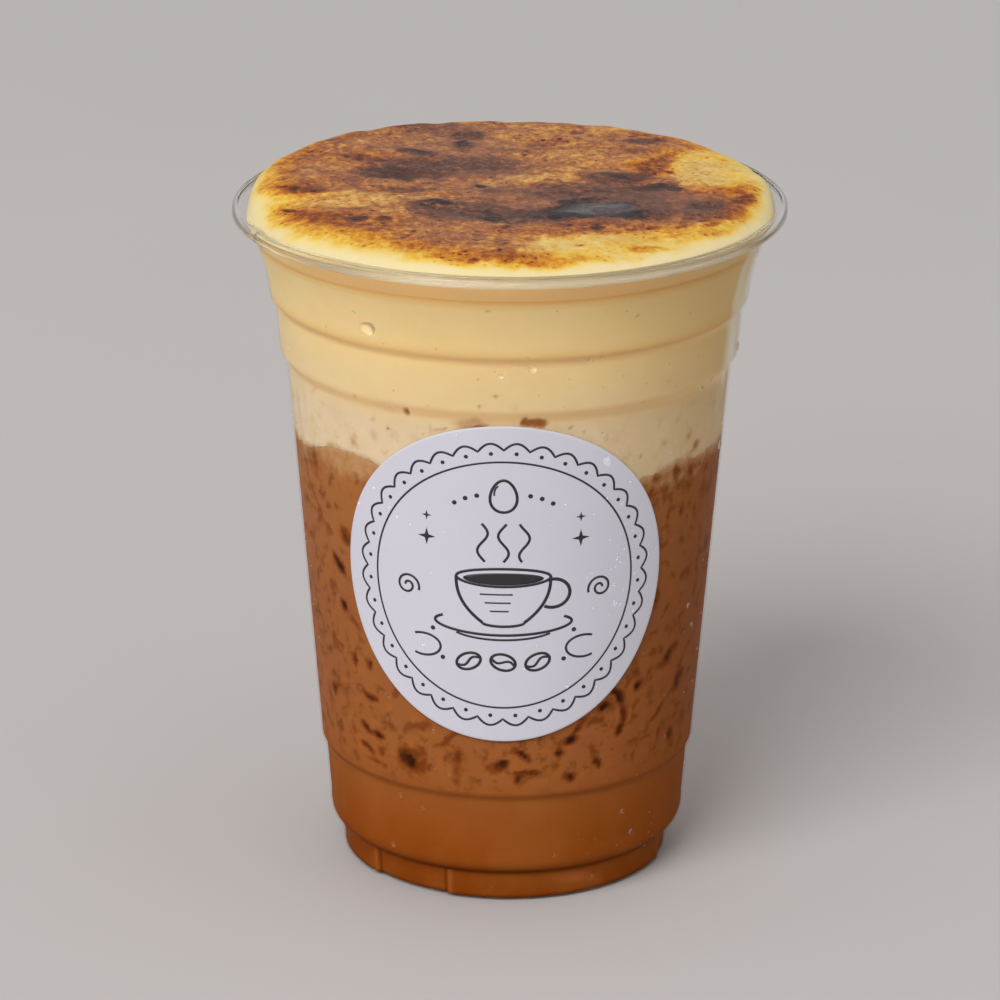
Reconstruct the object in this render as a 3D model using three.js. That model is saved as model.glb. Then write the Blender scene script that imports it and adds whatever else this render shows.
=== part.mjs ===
// Iced egg coffee in a clear plastic cup, in millimetres, +Z up.
// The origin is the centre of the cup's foot, on the surface that it stands on.
// Sub-parts: the cup with its rolled rim, the coffee, the egg foam that stands proud of the rim,
// and a round paper sticker on the front (-Y) of the cup.
import * as THREE from "three";

// Cup: a thin thermoformed shell.
const RIM_RADIUS = 49;
const CUP_HEIGHT = 121.9;
const WALL = 0.6;
const SEGMENTS = 60;

// Straight taper of the cup's outside, and the steps that ring it.
const TAPER_RADIUS = 34.2;
const TAPER_HEIGHT = 24.2;
const TAPER_SLOPE = 0.0793;
const LOW_STEP = { height: 20.9, width: 2.2, rise: 0.62 };
const MID_STEP = { height: 94.2, width: 4, rise: 1.08 };
const TOP_STEP = { height: 104.5, width: 3, rise: 0.85 };
const FLARE_START = 105;
const FLARE_RATE = 0.0152;

// Foot ring, the rounded shoulder above it and the raised panel inside it.
const FOOT_RADIUS = 29.9;
const FOOT_HEIGHT = 5.6;
const FOOT_TAPER = 0.07;
const FOOT_EDGE = 0.6;
const SHOULDER_TOP = 10.5;
const SHOULDER_POWER = 4;
const PANEL_RADIUS = 25.1;
const PANEL_HEIGHT = 2.5;
const CHANNEL_RADIUS = 26.4;
const NOTCH_DEPTH = 0.6;
const NOTCH_CENTRES = [-156, -36, 84];
const NOTCH_WIDTH = 30;

// Rolled rim: a half roll with a short skirt on its outside.
const ROLL_RADIUS = 1.22;
const SKIRT_BOTTOM = 120;
const RIM_LIFT = 0.7;

// Contents. They keep this gap to the cup and to each other.
const GAP = 0.3;
const FOAM_BOTTOM = 81.3;
const FOAM_EDGE_HEIGHT = 121;
const CROWN = { mean: 4.15, back: 0.1, left: 0.5 };
const CROWN_POWER = 14;
const CROWN_ROUNDING = 0.4;
const CROWN_SWELL = { x: -30, y: 30, reach: 20, rise: 0.5 };

// Where the coffee laps up into the foam, as an azimuth from the front and a width in radians.
const LAP = { azimuth: -0.87, width: 0.3, rise: 2.8 };

// Sticker: a flat disc wrapped round the cone of the wall.
const STICKER_RADIUS = 30;
const STICKER_HEIGHT = 63;
const STICKER_OFFSET = -0.8;
const STICKER_GAP = 0.15;
const STICKER_THICKNESS = 0.25;
const STICKER_SEGMENTS = 48;

const smoothstep = (t) => {
  const c = Math.min(1, Math.max(0, t));
  return c * c * (3 - 2 * c);
};
const stepAt = (z, step) =>
  step.rise * smoothstep((z - step.height) / step.width + 0.5);
const degrees = THREE.MathUtils.degToRad;
const lerp = THREE.MathUtils.lerp;

// Outside radius of the cup's wall at a height, from the shoulder to the rim.
function wallRadius(z) {
  const taper = TAPER_RADIUS + TAPER_SLOPE * (z - TAPER_HEIGHT);
  const steps =
    stepAt(z, LOW_STEP) - LOW_STEP.rise + stepAt(z, MID_STEP) + stepAt(z, TOP_STEP);
  const flare = FLARE_RATE * Math.max(0, z - FLARE_START) ** 2;
  return taper + steps + flare;
}

// Outside radius of the foot ring and the shoulder above it.
function footRadius(z) {
  const foot = FOOT_RADIUS + FOOT_TAPER * Math.min(z, FOOT_HEIGHT);
  if (z <= FOOT_HEIGHT) return foot;
  const t = (SHOULDER_TOP - z) / (SHOULDER_TOP - FOOT_HEIGHT);
  return lerp(foot, wallRadius(SHOULDER_TOP), 1 - t ** SHOULDER_POWER);
}

const outsideRadius = (z) => (z < SHOULDER_TOP ? footRadius(z) : wallRadius(z));

// Heights at which the wall bends and so needs a ring of vertices.
function wallHeights(from, to) {
  const rings = [FOOT_HEIGHT - 0.6, FOOT_HEIGHT, 6.3, 7.4, SHOULDER_TOP];
  for (const { height, width } of [LOW_STEP, MID_STEP, TOP_STEP])
    for (const t of [-0.45, 0, 0.45]) rings.push(height + t * width);
  for (const t of [0.3, 0.55, 0.78, 1])
    rings.push(lerp(FLARE_START, SKIRT_BOTTOM, t));
  return rings.filter((z) => z > from && z < to).sort((a, b) => a - b);
}

// Points of an arc in the plane of a profile, from one angle to another in degrees.
function arc(centre, radius, from, to, steps) {
  return Array.from({ length: steps + 1 }, (_, i) => {
    const a = degrees(lerp(from, to, i / steps));
    return [centre[0] + radius * Math.cos(a), centre[1] + radius * Math.sin(a)];
  });
}

// A closed profile of [radius, height] pairs turned about Z, anticlockwise seen from -Y.
function turned(profile, segments = SEGMENTS) {
  const points = profile.map(([r, z]) => new THREE.Vector2(Math.max(r, 0), z));
  const geometry = new THREE.LatheGeometry(points, segments);
  geometry.deleteAttribute("normal");
  geometry.deleteAttribute("uv");
  geometry.rotateX(Math.PI / 2);
  return geometry;
}

// Moves each vertex of a geometry by a rule that takes and returns a Vector3.
function reshape(geometry, rule) {
  const position = geometry.getAttribute("position");
  const v = new THREE.Vector3();
  for (let i = 0; i < position.count; i++) {
    rule(v.fromBufferAttribute(position, i));
    position.setXYZ(i, v.x, v.y, v.z);
  }
  return geometry;
}

// Presses the shallow notches into the foot ring.
function pressNotches(v) {
  const radius = Math.hypot(v.x, v.y);
  if (v.z > FOOT_HEIGHT - 0.1 || radius < FOOT_RADIUS - 2) return;
  const azimuth = THREE.MathUtils.radToDeg(Math.atan2(v.x, -v.y));
  const inside = NOTCH_CENTRES.some((centre) => {
    const away = THREE.MathUtils.euclideanModulo(azimuth - centre + 180, 360) - 180;
    return Math.abs(away) < NOTCH_WIDTH / 2;
  });
  if (!inside) return;
  const scale = (radius - NOTCH_DEPTH) / radius;
  v.x *= scale;
  v.y *= scale;
}

// The soft rim stands a little higher on the cup's right (+X).
function liftRim(v) {
  const share = smoothstep((v.z - FLARE_START) / 12);
  v.z += RIM_LIFT * share * (Math.max(0, v.x) / RIM_RADIUS) ** 2;
}

// Profile of the rolled rim, from the outside of the wall over the roll to its inside.
function rimProfile() {
  const centre = [RIM_RADIUS - ROLL_RADIUS, CUP_HEIGHT - ROLL_RADIUS];
  const hollow = arc(centre, ROLL_RADIUS - WALL, 170, 0, 3);
  const roll = arc(centre, ROLL_RADIUS, 0, 170, 6);
  const skirt = [
    [RIM_RADIUS - WALL, SKIRT_BOTTOM],
    [RIM_RADIUS, SKIRT_BOTTOM],
  ];
  return [...hollow, ...skirt, ...roll];
}

function makeCup() {
  const heights = wallHeights(FOOT_EDGE + 0.3, SKIRT_BOTTOM + 0.1);
  const outside = heights.map((z) => [outsideRadius(z), z]);
  const inside = heights.map((z) => [outsideRadius(z) - WALL, z]).reverse();
  const under = [
    [0, PANEL_HEIGHT],
    [PANEL_RADIUS, PANEL_HEIGHT],
    [CHANNEL_RADIUS - 0.4, 0.4],
    [CHANNEL_RADIUS, 0],
    [FOOT_RADIUS - FOOT_EDGE, 0],
    [FOOT_RADIUS, FOOT_EDGE],
  ];
  const floor = [
    [FOOT_RADIUS - WALL, FOOT_EDGE + 0.3],
    [FOOT_RADIUS - WALL - 0.3, WALL],
    [CHANNEL_RADIUS + 0.4, WALL],
    [CHANNEL_RADIUS, WALL + 0.3],
    [PANEL_RADIUS + 0.4, PANEL_HEIGHT + WALL],
    [0, PANEL_HEIGHT + WALL],
  ];
  const profile = [...under, ...outside, ...rimProfile(), ...inside, ...floor];
  return reshape(reshape(turned(profile), pressNotches), liftRim);
}

// Height of the uneven surface between the coffee and the foam.
function foamBottom(x, y) {
  const a = Math.atan2(x, -y);
  const spread = Math.hypot(x, y) / outsideRadius(FOAM_BOTTOM);
  const lap = LAP.rise * Math.exp(-(((a - LAP.azimuth) / LAP.width) ** 2));
  const waves = 0.9 * Math.cos(a) - 1 + 0.3 * Math.sin(7 * a);
  return FOAM_BOTTOM + spread * (lap + waves);
}

// Draws a raised or lowered surface in or out, so that its edge keeps to the tapered wall.
function followTaper(v, radius, margin) {
  const scale = (outsideRadius(v.z) - margin) / radius;
  v.x *= scale;
  v.y *= scale;
}

// Height of the foam's top: a crown with a rounded shoulder and a swell at the back left.
function foamTop(x, y, edgeRadius) {
  const share = Math.min(1, Math.hypot(x, y) / edgeRadius);
  const dome = (1 - share ** CROWN_POWER) ** CROWN_ROUNDING;
  const away = Math.hypot(x - CROWN_SWELL.x, y - CROWN_SWELL.y) / CROWN_SWELL.reach;
  const swell = CROWN_SWELL.rise * Math.exp(-(away ** 2));
  const crown = CROWN.mean + (CROWN.back * y - CROWN.left * x) / edgeRadius + swell;
  return FOAM_EDGE_HEIGHT + dome * (crown + blisters(x, y));
}

// Low bumps and hollows that the torch leaves in the foam.
function blisters(x, y) {
  const swell = 0.3 * Math.sin(0.16 * x + 0.9) * Math.cos(0.19 * y - 0.4);
  const ripple = 0.22 * Math.sin(0.33 * x + 0.21 * y) * Math.sin(0.41 * y - 0.12 * x + 1.3);
  const pock = 0.12 * Math.sin(0.62 * x - 0.35 * y + 2) * Math.cos(0.55 * y + 0.28 * x);
  return swell + ripple + pock;
}

// Rings of a flat surface from the outside to the axis, at shares of its radius.
const discRings = (radius, z, shares) => shares.map((share) => [radius * share, z]);

function makeCoffee() {
  const margin = WALL + GAP;
  const base = PANEL_HEIGHT + margin;
  const under = [
    [0, base],
    [PANEL_RADIUS + 0.6, base],
    [CHANNEL_RADIUS + 0.2, margin + 0.4],
    [CHANNEL_RADIUS + 0.6, margin],
    [FOOT_RADIUS - margin - 0.3, margin],
    [FOOT_RADIUS - margin, margin + 0.4],
  ];
  const side = wallHeights(margin + 0.5, FOAM_BOTTOM - 6)
    .concat([40, 58, FOAM_BOTTOM])
    .sort((a, b) => a - b)
    .map((z) => [outsideRadius(z) - margin, z]);
  const topRadius = outsideRadius(FOAM_BOTTOM) - margin;
  const top = discRings(topRadius, FOAM_BOTTOM, [0.86, 0.68, 0.48, 0.26, 0]);
  const geometry = reshape(turned([...under, ...side, ...top]), pressNotches);
  return reshape(geometry, (v) => {
    if (v.z < FOAM_BOTTOM - 0.1) return;
    v.z = foamBottom(v.x, v.y);
    followTaper(v, topRadius, margin);
  });
}

function makeFoam() {
  const margin = WALL + GAP;
  const bottomRadius = outsideRadius(FOAM_BOTTOM) - margin;
  const edgeRadius = RIM_RADIUS - 2 * ROLL_RADIUS - GAP;
  const under = discRings(bottomRadius, FOAM_BOTTOM, [0, 0.26, 0.48, 0.68, 0.86, 1]);
  const side = wallHeights(FOAM_BOTTOM + 6, SKIRT_BOTTOM + 0.1).map((z) => [
    outsideRadius(z) - margin,
    z,
  ]);
  const topShares = [1, 0.98, 0.95, 0.91, 0.85, 0.77, 0.68, 0.58, 0.47, 0.35, 0.23, 0.12, 0];
  const top = discRings(edgeRadius, FOAM_EDGE_HEIGHT, topShares);
  return reshape(turned([...under, ...side, ...top]), (v) => {
    if (v.z > FOAM_EDGE_HEIGHT - 0.1) v.z = foamTop(v.x, v.y, edgeRadius);
    liftRim(v);
    if (v.z > FOAM_BOTTOM + 0.1) return;
    v.z = foamBottom(v.x, v.y) + GAP;
    followTaper(v, bottomRadius, margin);
  });
}

// Place on the cup's wall of a point of the flat sticker, at a distance out from the wall.
function onCone(u, v, out) {
  const half = Math.atan(TAPER_SLOPE);
  const slant = wallRadius(STICKER_HEIGHT) / Math.sin(half);
  const toApex = Math.hypot(u, slant + v);
  const azimuth =
    Math.atan2(u, slant + v) / Math.sin(half) +
    STICKER_OFFSET / wallRadius(STICKER_HEIGHT);
  const radius = toApex * Math.sin(half) + out;
  const z = STICKER_HEIGHT + (toApex - slant) * Math.cos(half);
  return new THREE.Vector3(radius * Math.sin(azimuth), -radius * Math.cos(azimuth), z);
}

function makeSticker() {
  const rim = [
    [STICKER_RADIUS, STICKER_GAP],
    [STICKER_RADIUS, STICKER_GAP + STICKER_THICKNESS],
  ];
  const shares = [0.86, 0.7, 0.54, 0.37, 0.19, 0];
  const back = shares.map((share) => [STICKER_RADIUS * share, STICKER_GAP]).reverse();
  const front = shares.map((share) => [
    STICKER_RADIUS * share,
    STICKER_GAP + STICKER_THICKNESS,
  ]);
  return reshape(turned([...back, ...rim, ...front], STICKER_SEGMENTS), (v) => {
    v.copy(onCone(v.x, v.y, v.z));
  });
}

const materials = {
  clearPlastic: new THREE.MeshStandardMaterial({
    color: 0xeef2f2,
    roughness: 0.08,
    metalness: 0,
    transparent: true,
    opacity: 0.3,
  }),
  coffee: new THREE.MeshStandardMaterial({ color: 0x8e5228, roughness: 0.35, metalness: 0 }),
  foam: new THREE.MeshStandardMaterial({ color: 0xe6c486, roughness: 0.5, metalness: 0 }),
  paper: new THREE.MeshStandardMaterial({ color: 0xdedce6, roughness: 0.45, metalness: 0 }),
};

const drink = new THREE.Group();
const addPart = (name, geometry, material) => {
  const mesh = new THREE.Mesh(geometry, material);
  mesh.name = name;
  drink.add(mesh);
};

addPart("cup", makeCup(), materials.clearPlastic);
addPart("coffee", makeCoffee(), materials.coffee);
addPart("foam", makeFoam(), materials.foam);
addPart("sticker", makeSticker(), materials.paper);

export default drink;
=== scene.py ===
import bpy
import numpy as np
from mathutils import Euler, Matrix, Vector


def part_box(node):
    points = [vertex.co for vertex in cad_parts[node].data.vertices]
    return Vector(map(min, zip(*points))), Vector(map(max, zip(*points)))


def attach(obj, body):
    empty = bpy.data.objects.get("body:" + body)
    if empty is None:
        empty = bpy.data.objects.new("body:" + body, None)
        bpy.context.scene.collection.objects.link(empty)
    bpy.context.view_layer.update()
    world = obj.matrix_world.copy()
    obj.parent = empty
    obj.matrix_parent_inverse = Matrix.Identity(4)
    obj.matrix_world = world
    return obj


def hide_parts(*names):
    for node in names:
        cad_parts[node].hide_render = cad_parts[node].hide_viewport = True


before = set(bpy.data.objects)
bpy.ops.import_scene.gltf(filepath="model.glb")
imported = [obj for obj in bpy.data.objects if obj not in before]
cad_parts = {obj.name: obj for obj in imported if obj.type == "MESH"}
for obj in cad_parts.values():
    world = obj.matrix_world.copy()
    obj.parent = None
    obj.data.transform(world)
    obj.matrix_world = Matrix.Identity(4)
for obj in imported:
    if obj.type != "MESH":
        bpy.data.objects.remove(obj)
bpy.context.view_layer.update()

MM = 0.001

# Cup: the same wall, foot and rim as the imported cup, with the fine steps rounded.
RIM_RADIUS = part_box("cup")[1].y / MM
CUP_HEIGHT = 121.9
WALL = 0.6
SEGMENTS = 448
CUP_SEGMENTS = 256
TAPER_RADIUS = 34.2
TAPER_HEIGHT = 24.2
TAPER_SLOPE = 0.0793
LOW_STEP = {"height": 21.5, "width": 1.4, "rise": 0.62}
MID_STEP = {"height": 94.6, "width": 3.0, "rise": 1.08}
TOP_STEP = {"height": 105, "width": 2.0, "rise": 0.85}
FLARE_START = 105
FLARE_RATE = 0.0152
NECK_GROOVE = {"height": 116.4, "width": 0.45, "depth": 0.22}
FOOT_RADIUS = 29.9
FOOT_HEIGHT = 5.6
FOOT_TAPER = 0.07
FOOT_EDGE = 0.6
SHOULDER_TOP = 10.5
SHOULDER_POWER = 4
PANEL_RADIUS = 25.1
PANEL_HEIGHT = 2.5
CHANNEL_RADIUS = 26.4
NOTCH_DEPTH = 0.6
NOTCH_CENTRES = (-156, -36, 84)
NOTCH_WIDTH = 30
ROLL_RADIUS = 1.22
ROLL_CENTRE = (RIM_RADIUS - ROLL_RADIUS, CUP_HEIGHT - ROLL_RADIUS)
SKIRT_BOTTOM = 120
RIM_LIFT = 0.7
LIP_TAB = {"azimuth": -66.5, "width": 1.1, "depth": 0.5}

# Contents: they reach this far into the wall's inner face.
REACH = 0.25
FOAM_BOTTOM = 81.3
NECK_TOP = 117.6
FOAM_EDGE_HEIGHT = 121
FOAM_EDGE_RADIUS = 46.6
# How far the crown rises over FOAM_EDGE_HEIGHT, and how much further at the back and at the left.
CROWN = {"mean": 3.6, "back": 0.1, "left": 0.5}
# How the crown falls to its edge in front and at the back: the higher the power and the lower the
# rounding, the steeper.
CROWN_FALL = {"front": (8, 0.8), "back": (20, 0.36), "from": 70, "to": 105}
# Swells of the crown: x, y, reach and rise.
CROWN_SWELLS = ((-30, 30, 20, 0.45), (-16, 41, 8, 0.3), (22, 37, 13, 0.6))
# The line between coffee and foam, from FOAM_BOTTOM: how far it drops at the sides, how much less
# in front and more behind, and its ripples. Then its roughness as rows of rise, size and seed, and
# where it laps up at the left, in radians.
SEAM = {"drop": 1, "front": 0.9, "ripple": 0.3, "ripples": 7}
SEAM_ROUGHNESS = ((0.6, 5, 11), (0.3, 1.6, 19))
LAP = {"azimuth": -0.84, "width": 0.27, "rise": 2.7}
# How many rings the foam has on the wall, on the lip and over the top, and how many the coffee's
# side has below and above a height, from the height where it starts.
FOAM_RINGS = {"wall": 78, "lip": 16, "top": 118}
COFFEE_RINGS = {"below": 34, "above": 122, "start": 0.7, "height": 12}

# Sticker: a flat disc wrapped round the cone of the wall. Its middle lies STICKER_OFFSET to the
# right of the front, and its two faces lie STICKER_BACK and STICKER_FRONT out from the wall.
STICKER_RADIUS = 30
STICKER_HEIGHT = 63
STICKER_OFFSET = -0.8
STICKER_BACK = -0.05
STICKER_FRONT = 0.3
STICKER_SEGMENTS = 160


# Numbers that vary smoothly

def smooth(t):
    """Runs from 0 to 1 as t does, level at both ends."""
    t = np.clip(t, 0, 1)
    return t * t * (3 - 2 * t)


def bell(value, middle, reach):
    """1 where a value is at its middle, and fading over a reach on both sides."""
    return np.exp(-(((value - middle) / reach) ** 2))


LATTICE = 64


def noise(points, size, seed):
    """Smooth values from -1 to 1 at points in mm, with swells of about the given size."""
    lattice = np.random.default_rng(seed).uniform(-1, 1, (LATTICE,) * 3)
    place = np.asarray(points) / size
    cell = np.floor(place).astype(int)
    t = smooth(place - cell)
    value = np.zeros(place.shape[:-1])
    for corner in np.ndindex(2, 2, 2):
        i, j, k = np.moveaxis((cell + corner) % LATTICE, -1, 0)
        weight = np.where(corner, t, 1 - t).prod(axis=-1)
        value += weight * lattice[i, j, k]
    return value


def fractal(points, size, seed):
    """Noise in three octaves, each half the size and strength of the one before."""
    return sum(noise(points, size / 2**n, seed + n) / 2**n for n in range(3))


def spot(u, v, half_width, half_height, turn, softness):
    """1 inside a turned ellipse and 0 outside, fading over a share of its size."""
    c, s = np.cos(np.radians(turn)), np.sin(np.radians(turn))
    away = np.hypot((u * c + v * s) / half_width, (v * c - u * s) / half_height)
    return smooth((1 - away) / softness + 0.5)


# The cup's outline

def step_at(z, step):
    """How far a step has moved the wall out at a height."""
    return step["rise"] * smooth((z - step["height"]) / step["width"] + 0.5)


def wall_radius(z):
    """Outside radius of the cup's wall at a height, from the shoulder to the rim."""
    taper = TAPER_RADIUS + TAPER_SLOPE * (z - TAPER_HEIGHT)
    steps = step_at(z, LOW_STEP) - LOW_STEP["rise"] + step_at(z, MID_STEP) + step_at(z, TOP_STEP)
    flare = FLARE_RATE * np.maximum(0, z - FLARE_START) ** 2
    return taper + steps + flare


def foot_radius(z):
    """Outside radius of the foot ring and of the rounded shoulder above it."""
    foot = FOOT_RADIUS + FOOT_TAPER * np.minimum(z, FOOT_HEIGHT)
    t = np.clip((SHOULDER_TOP - z) / (SHOULDER_TOP - FOOT_HEIGHT), 0, 1)
    shoulder = foot + (wall_radius(SHOULDER_TOP) - foot) * (1 - t**SHOULDER_POWER)
    return np.where(z <= FOOT_HEIGHT, foot, shoulder)


def outside_radius(z):
    z = np.asarray(z, float)
    return np.where(z < SHOULDER_TOP, foot_radius(z), wall_radius(z))


def inside_radius(z):
    """Radius of the wall's inner face, which runs straight up beside the rolled rim."""
    return np.minimum(outside_radius(z) - WALL, RIM_RADIUS - 2 * ROLL_RADIUS)


def around(radius, height, segments=SEGMENTS):
    """Rings of points, shape (rings, segments, 3), from radii and heights of each ring or point."""
    azimuth = np.linspace(-np.pi, np.pi, segments, endpoint=False)
    radius, height = (np.asarray(v, float) for v in (radius, height))
    if radius.ndim == 1:
        radius = radius[:, None]
    if height.ndim == 1:
        height = height[:, None]
    radius, height, azimuth = np.broadcast_arrays(radius, height, azimuth)
    return np.stack([radius * np.sin(azimuth), -radius * np.cos(azimuth), height], axis=-1)


def azimuth_of(points):
    return np.degrees(np.arctan2(points[..., 0], -points[..., 1]))


def turn_between(azimuth, centre):
    """Signed angle in degrees from a centre azimuth, the short way round."""
    return (azimuth - centre + 180) % 360 - 180


def move_in(points, depth):
    """Moves points towards the axis by a depth in mm."""
    radius = np.hypot(points[..., 0], points[..., 1])
    points[..., :2] *= (1 - depth / np.maximum(radius, 1))[..., None]


def lift_rim(points):
    """The soft rim stands a little higher on the cup's right (+X)."""
    share = smooth((points[..., 2] - FLARE_START) / 12)
    points[..., 2] += RIM_LIFT * share * (np.maximum(0, points[..., 0]) / RIM_RADIUS) ** 2


def press_notches(points):
    """Shallow notches that are pressed into the foot ring."""
    radius = np.hypot(points[..., 0], points[..., 1])
    low = smooth((FOOT_HEIGHT + 0.1 - points[..., 2]) / 0.3)
    low = low * smooth((radius - FOOT_RADIUS + 2.4) / 0.4)
    pressed = np.zeros_like(radius)
    for centre in NOTCH_CENTRES:
        away = np.abs(turn_between(azimuth_of(points), centre))
        pressed += smooth((NOTCH_WIDTH / 2 - away) / 1.2 + 0.5)
    move_in(points, NOTCH_DEPTH * pressed * low)


# Meshes, masks on their points, and how a piece joins the frame

def mesh_piece(name, vertices, faces, material):
    """A smooth-shaded mesh from points in mm, riding on the drink's only body."""
    mesh = bpy.data.meshes.new(name)
    mesh.from_pydata((np.asarray(vertices) * MM).tolist(), [], faces)
    mesh.materials.append(material)
    mesh.polygons.foreach_set("use_smooth", [True] * len(mesh.polygons))
    mesh.update()
    piece = bpy.data.objects.new(name, mesh)
    bpy.context.scene.collection.objects.link(piece)
    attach(piece, "root")
    return piece


def turned_faces(rings, segments):
    """Quads between rings and a fan of triangles to a pole at each end, facing out."""
    at = np.arange(rings * segments).reshape(rings, segments)
    near = np.roll(at, -1, axis=1)
    quads = np.stack([at[:-1], near[:-1], near[1:], at[1:]], axis=-1).reshape(-1, 4)
    start, end = rings * segments, rings * segments + 1
    start_fan = [(start, b, a) for a, b in zip(at[0].tolist(), near[0].tolist())]
    end_fan = [(end, a, b) for a, b in zip(at[-1].tolist(), near[-1].tolist())]
    return quads.tolist() + start_fan + end_fan


def with_poles(values):
    """Values of rings as one list, with the mean of the first and of the last ring at its end."""
    flat = values.reshape(-1, *values.shape[2:])
    return np.concatenate([flat, values[[0, -1]].mean(axis=1)])


def turned(name, rings, material):
    """A closed piece from rings that run from the axis below, round the outside, to the axis above."""
    faces = turned_faces(*rings.shape[:2])
    return mesh_piece(name, with_poles(rings), faces, material)


def paint(piece, rings, start=0, **masks):
    """Keeps numbers from 0 to 1 on a turned piece's points, for its material to read. They belong
    to the rings from start on, and all the other rings get 0."""
    for name, values in masks.items():
        spread = np.zeros(rings.shape[:2])
        spread[start : start + len(values)] = values
        attribute = piece.data.attributes.new(name, "FLOAT", "POINT")
        attribute.data.foreach_set("value", np.clip(with_poles(spread), 0, 1).astype(np.float32))


def joined(parts):
    """One list of vertices and one of faces from several parts."""
    vertices, faces, start = [], [], 0
    for part_vertices, part_faces in parts:
        vertices.append(part_vertices)
        faces += [tuple(start + i for i in face) for face in part_faces]
        start += len(part_vertices)
    return np.concatenate(vertices), faces


# Node trees

def linear(value):
    c = value / 255
    return c / 12.92 if c <= 0.04045 else ((c + 0.055) / 1.055) ** 2.4


def tone(red, green, blue):
    """A colour from its usual 0 to 255 values."""
    return (linear(red), linear(green), linear(blue), 1)


class Look:
    """A material's node tree, with short calls for the nodes that the finishes share."""

    def __init__(self, name):
        self.material = bpy.data.materials.new(name)
        self.material.use_nodes = True
        self.tree = self.material.node_tree
        self.tree.nodes.clear()
        self.place = self.node("ShaderNodeTexCoord").outputs["Object"]

    def put(self, socket, value):
        if isinstance(value, bpy.types.NodeSocket):
            self.tree.links.new(value, socket)
        else:
            socket.default_value = value

    def node(self, kind, inputs=None, **settings):
        node = self.tree.nodes.new(kind)
        for key, value in settings.items():
            setattr(node, key, value)
        for key, value in (inputs or {}).items():
            self.put(node.inputs[key], value)
        return node

    def mask(self, name):
        return self.node("ShaderNodeAttribute", attribute_name=name).outputs["Fac"]

    def axis(self, name):
        """A point's X, Y or Z in metres."""
        return self.node("ShaderNodeSeparateXYZ", {"Vector": self.place}).outputs[name]

    def math(self, operation, a, b=0.0, c=0.0):
        return self.node("ShaderNodeMath", {0: a, 1: b, 2: c}, operation=operation).outputs[0]

    def times(self, a, b):
        return self.math("MULTIPLY", a, b)

    def grain(self, size, detail=3.0, stretch=(1, 1, 1)):
        """Noise from 0 to 1 about 0.5, with swells of a size in mm."""
        scale = [s / (size * MM) for s in stretch]
        vector = self.node("ShaderNodeMapping", {"Vector": self.place, "Scale": scale}).outputs[0]
        inputs = {"Vector": vector, "Scale": 1.0, "Detail": detail, "Roughness": 0.6}
        return self.node("ShaderNodeTexNoise", inputs).outputs["Fac"]

    def dots(self, spacing, radius):
        """Round specks, one in each cell of a spacing in mm, of a radius as a share of it."""
        inputs = {"Vector": self.place, "Scale": 1 / (spacing * MM), "Randomness": 1.0}
        cells = self.node("ShaderNodeTexVoronoi", inputs)
        return self.fade(cells.outputs["Distance"], radius, radius * 0.6)

    def fade(self, value, start, end, course="SMOOTHSTEP"):
        """0 where a value is at start, 1 where it is at end, and smooth between."""
        inputs = {"Value": value, "From Min": start, "From Max": end}
        return self.node("ShaderNodeMapRange", inputs, interpolation_type=course).outputs[0]

    def span(self, grain, low, high):
        """A number that runs from low to high with a grain of 0 to 1."""
        inputs = {"Value": grain, "To Min": low, "To Max": high}
        return self.node("ShaderNodeMapRange", inputs).outputs[0]

    def steady(self, grain, share):
        """A grain that flattens to its middle, 0.5, where the share is 0."""
        return self.math("MULTIPLY_ADD", grain, share, self.span(share, 0.5, 0.0))

    def vary(self, value, grain, amount):
        """A value moved up or down by a grain, by up to half the amount."""
        return self.math("MULTIPLY_ADD", self.math("SUBTRACT", grain, 0.5), amount, value)

    def torn(self, name, grain, amount, start=0.0, end=1.0):
        """A painted mask whose edge is torn up by a grain."""
        return self.fade(self.vary(self.mask(name), grain, amount), start, end)

    def blend(self, factor, a, b):
        mix = self.node("ShaderNodeMix", data_type="RGBA")
        for socket, value in zip((mix.inputs[0], mix.inputs[6], mix.inputs[7]), (factor, a, b)):
            self.put(socket, value)
        return mix.outputs[2]

    def layers(self, base, *layers):
        """A base colour with others laid over it in turn, each by its own share."""
        for share, colour in layers:
            base = self.blend(share, base, colour)
        return base

    def ramp(self, value, stops):
        """A colour by a value, from rows of a place from 0 to 1 and a colour's 3 values."""
        node = self.node("ShaderNodeValToRGB", {"Fac": value})
        elements = node.color_ramp.elements
        while len(elements) < len(stops):
            elements.new(1)
        for element, (position, *colour) in zip(elements, stops):
            element.position = position
            element.color = tone(*colour)
        return node.outputs["Color"]

    def bump(self, height, depth):
        """A fine relief, from a height of 0 to 1 that stands for a depth in mm."""
        return self.node("ShaderNodeBump", {"Height": height, "Distance": depth * MM}).outputs[0]

    def finish(self, inputs, shadow=None, unseen=0.0):
        """Ends the tree in a Principled shader. A shadow colour lets light through a clear piece,
        and a share of its surface can go unseen, gloss and all."""
        shader = self.node("ShaderNodeBsdfPrincipled", inputs).outputs[0]
        if shadow:
            clear = self.node("ShaderNodeBsdfTransparent", {"Color": shadow}).outputs[0]
            ray = self.node("ShaderNodeLightPath").outputs["Is Shadow Ray"]
            share = self.math("MAXIMUM", ray, unseen)
            shader = self.node("ShaderNodeMixShader", {0: share, 1: shader, 2: clear}).outputs[0]
        self.node("ShaderNodeOutputMaterial", {"Surface": shader})
        return self.material


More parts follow.
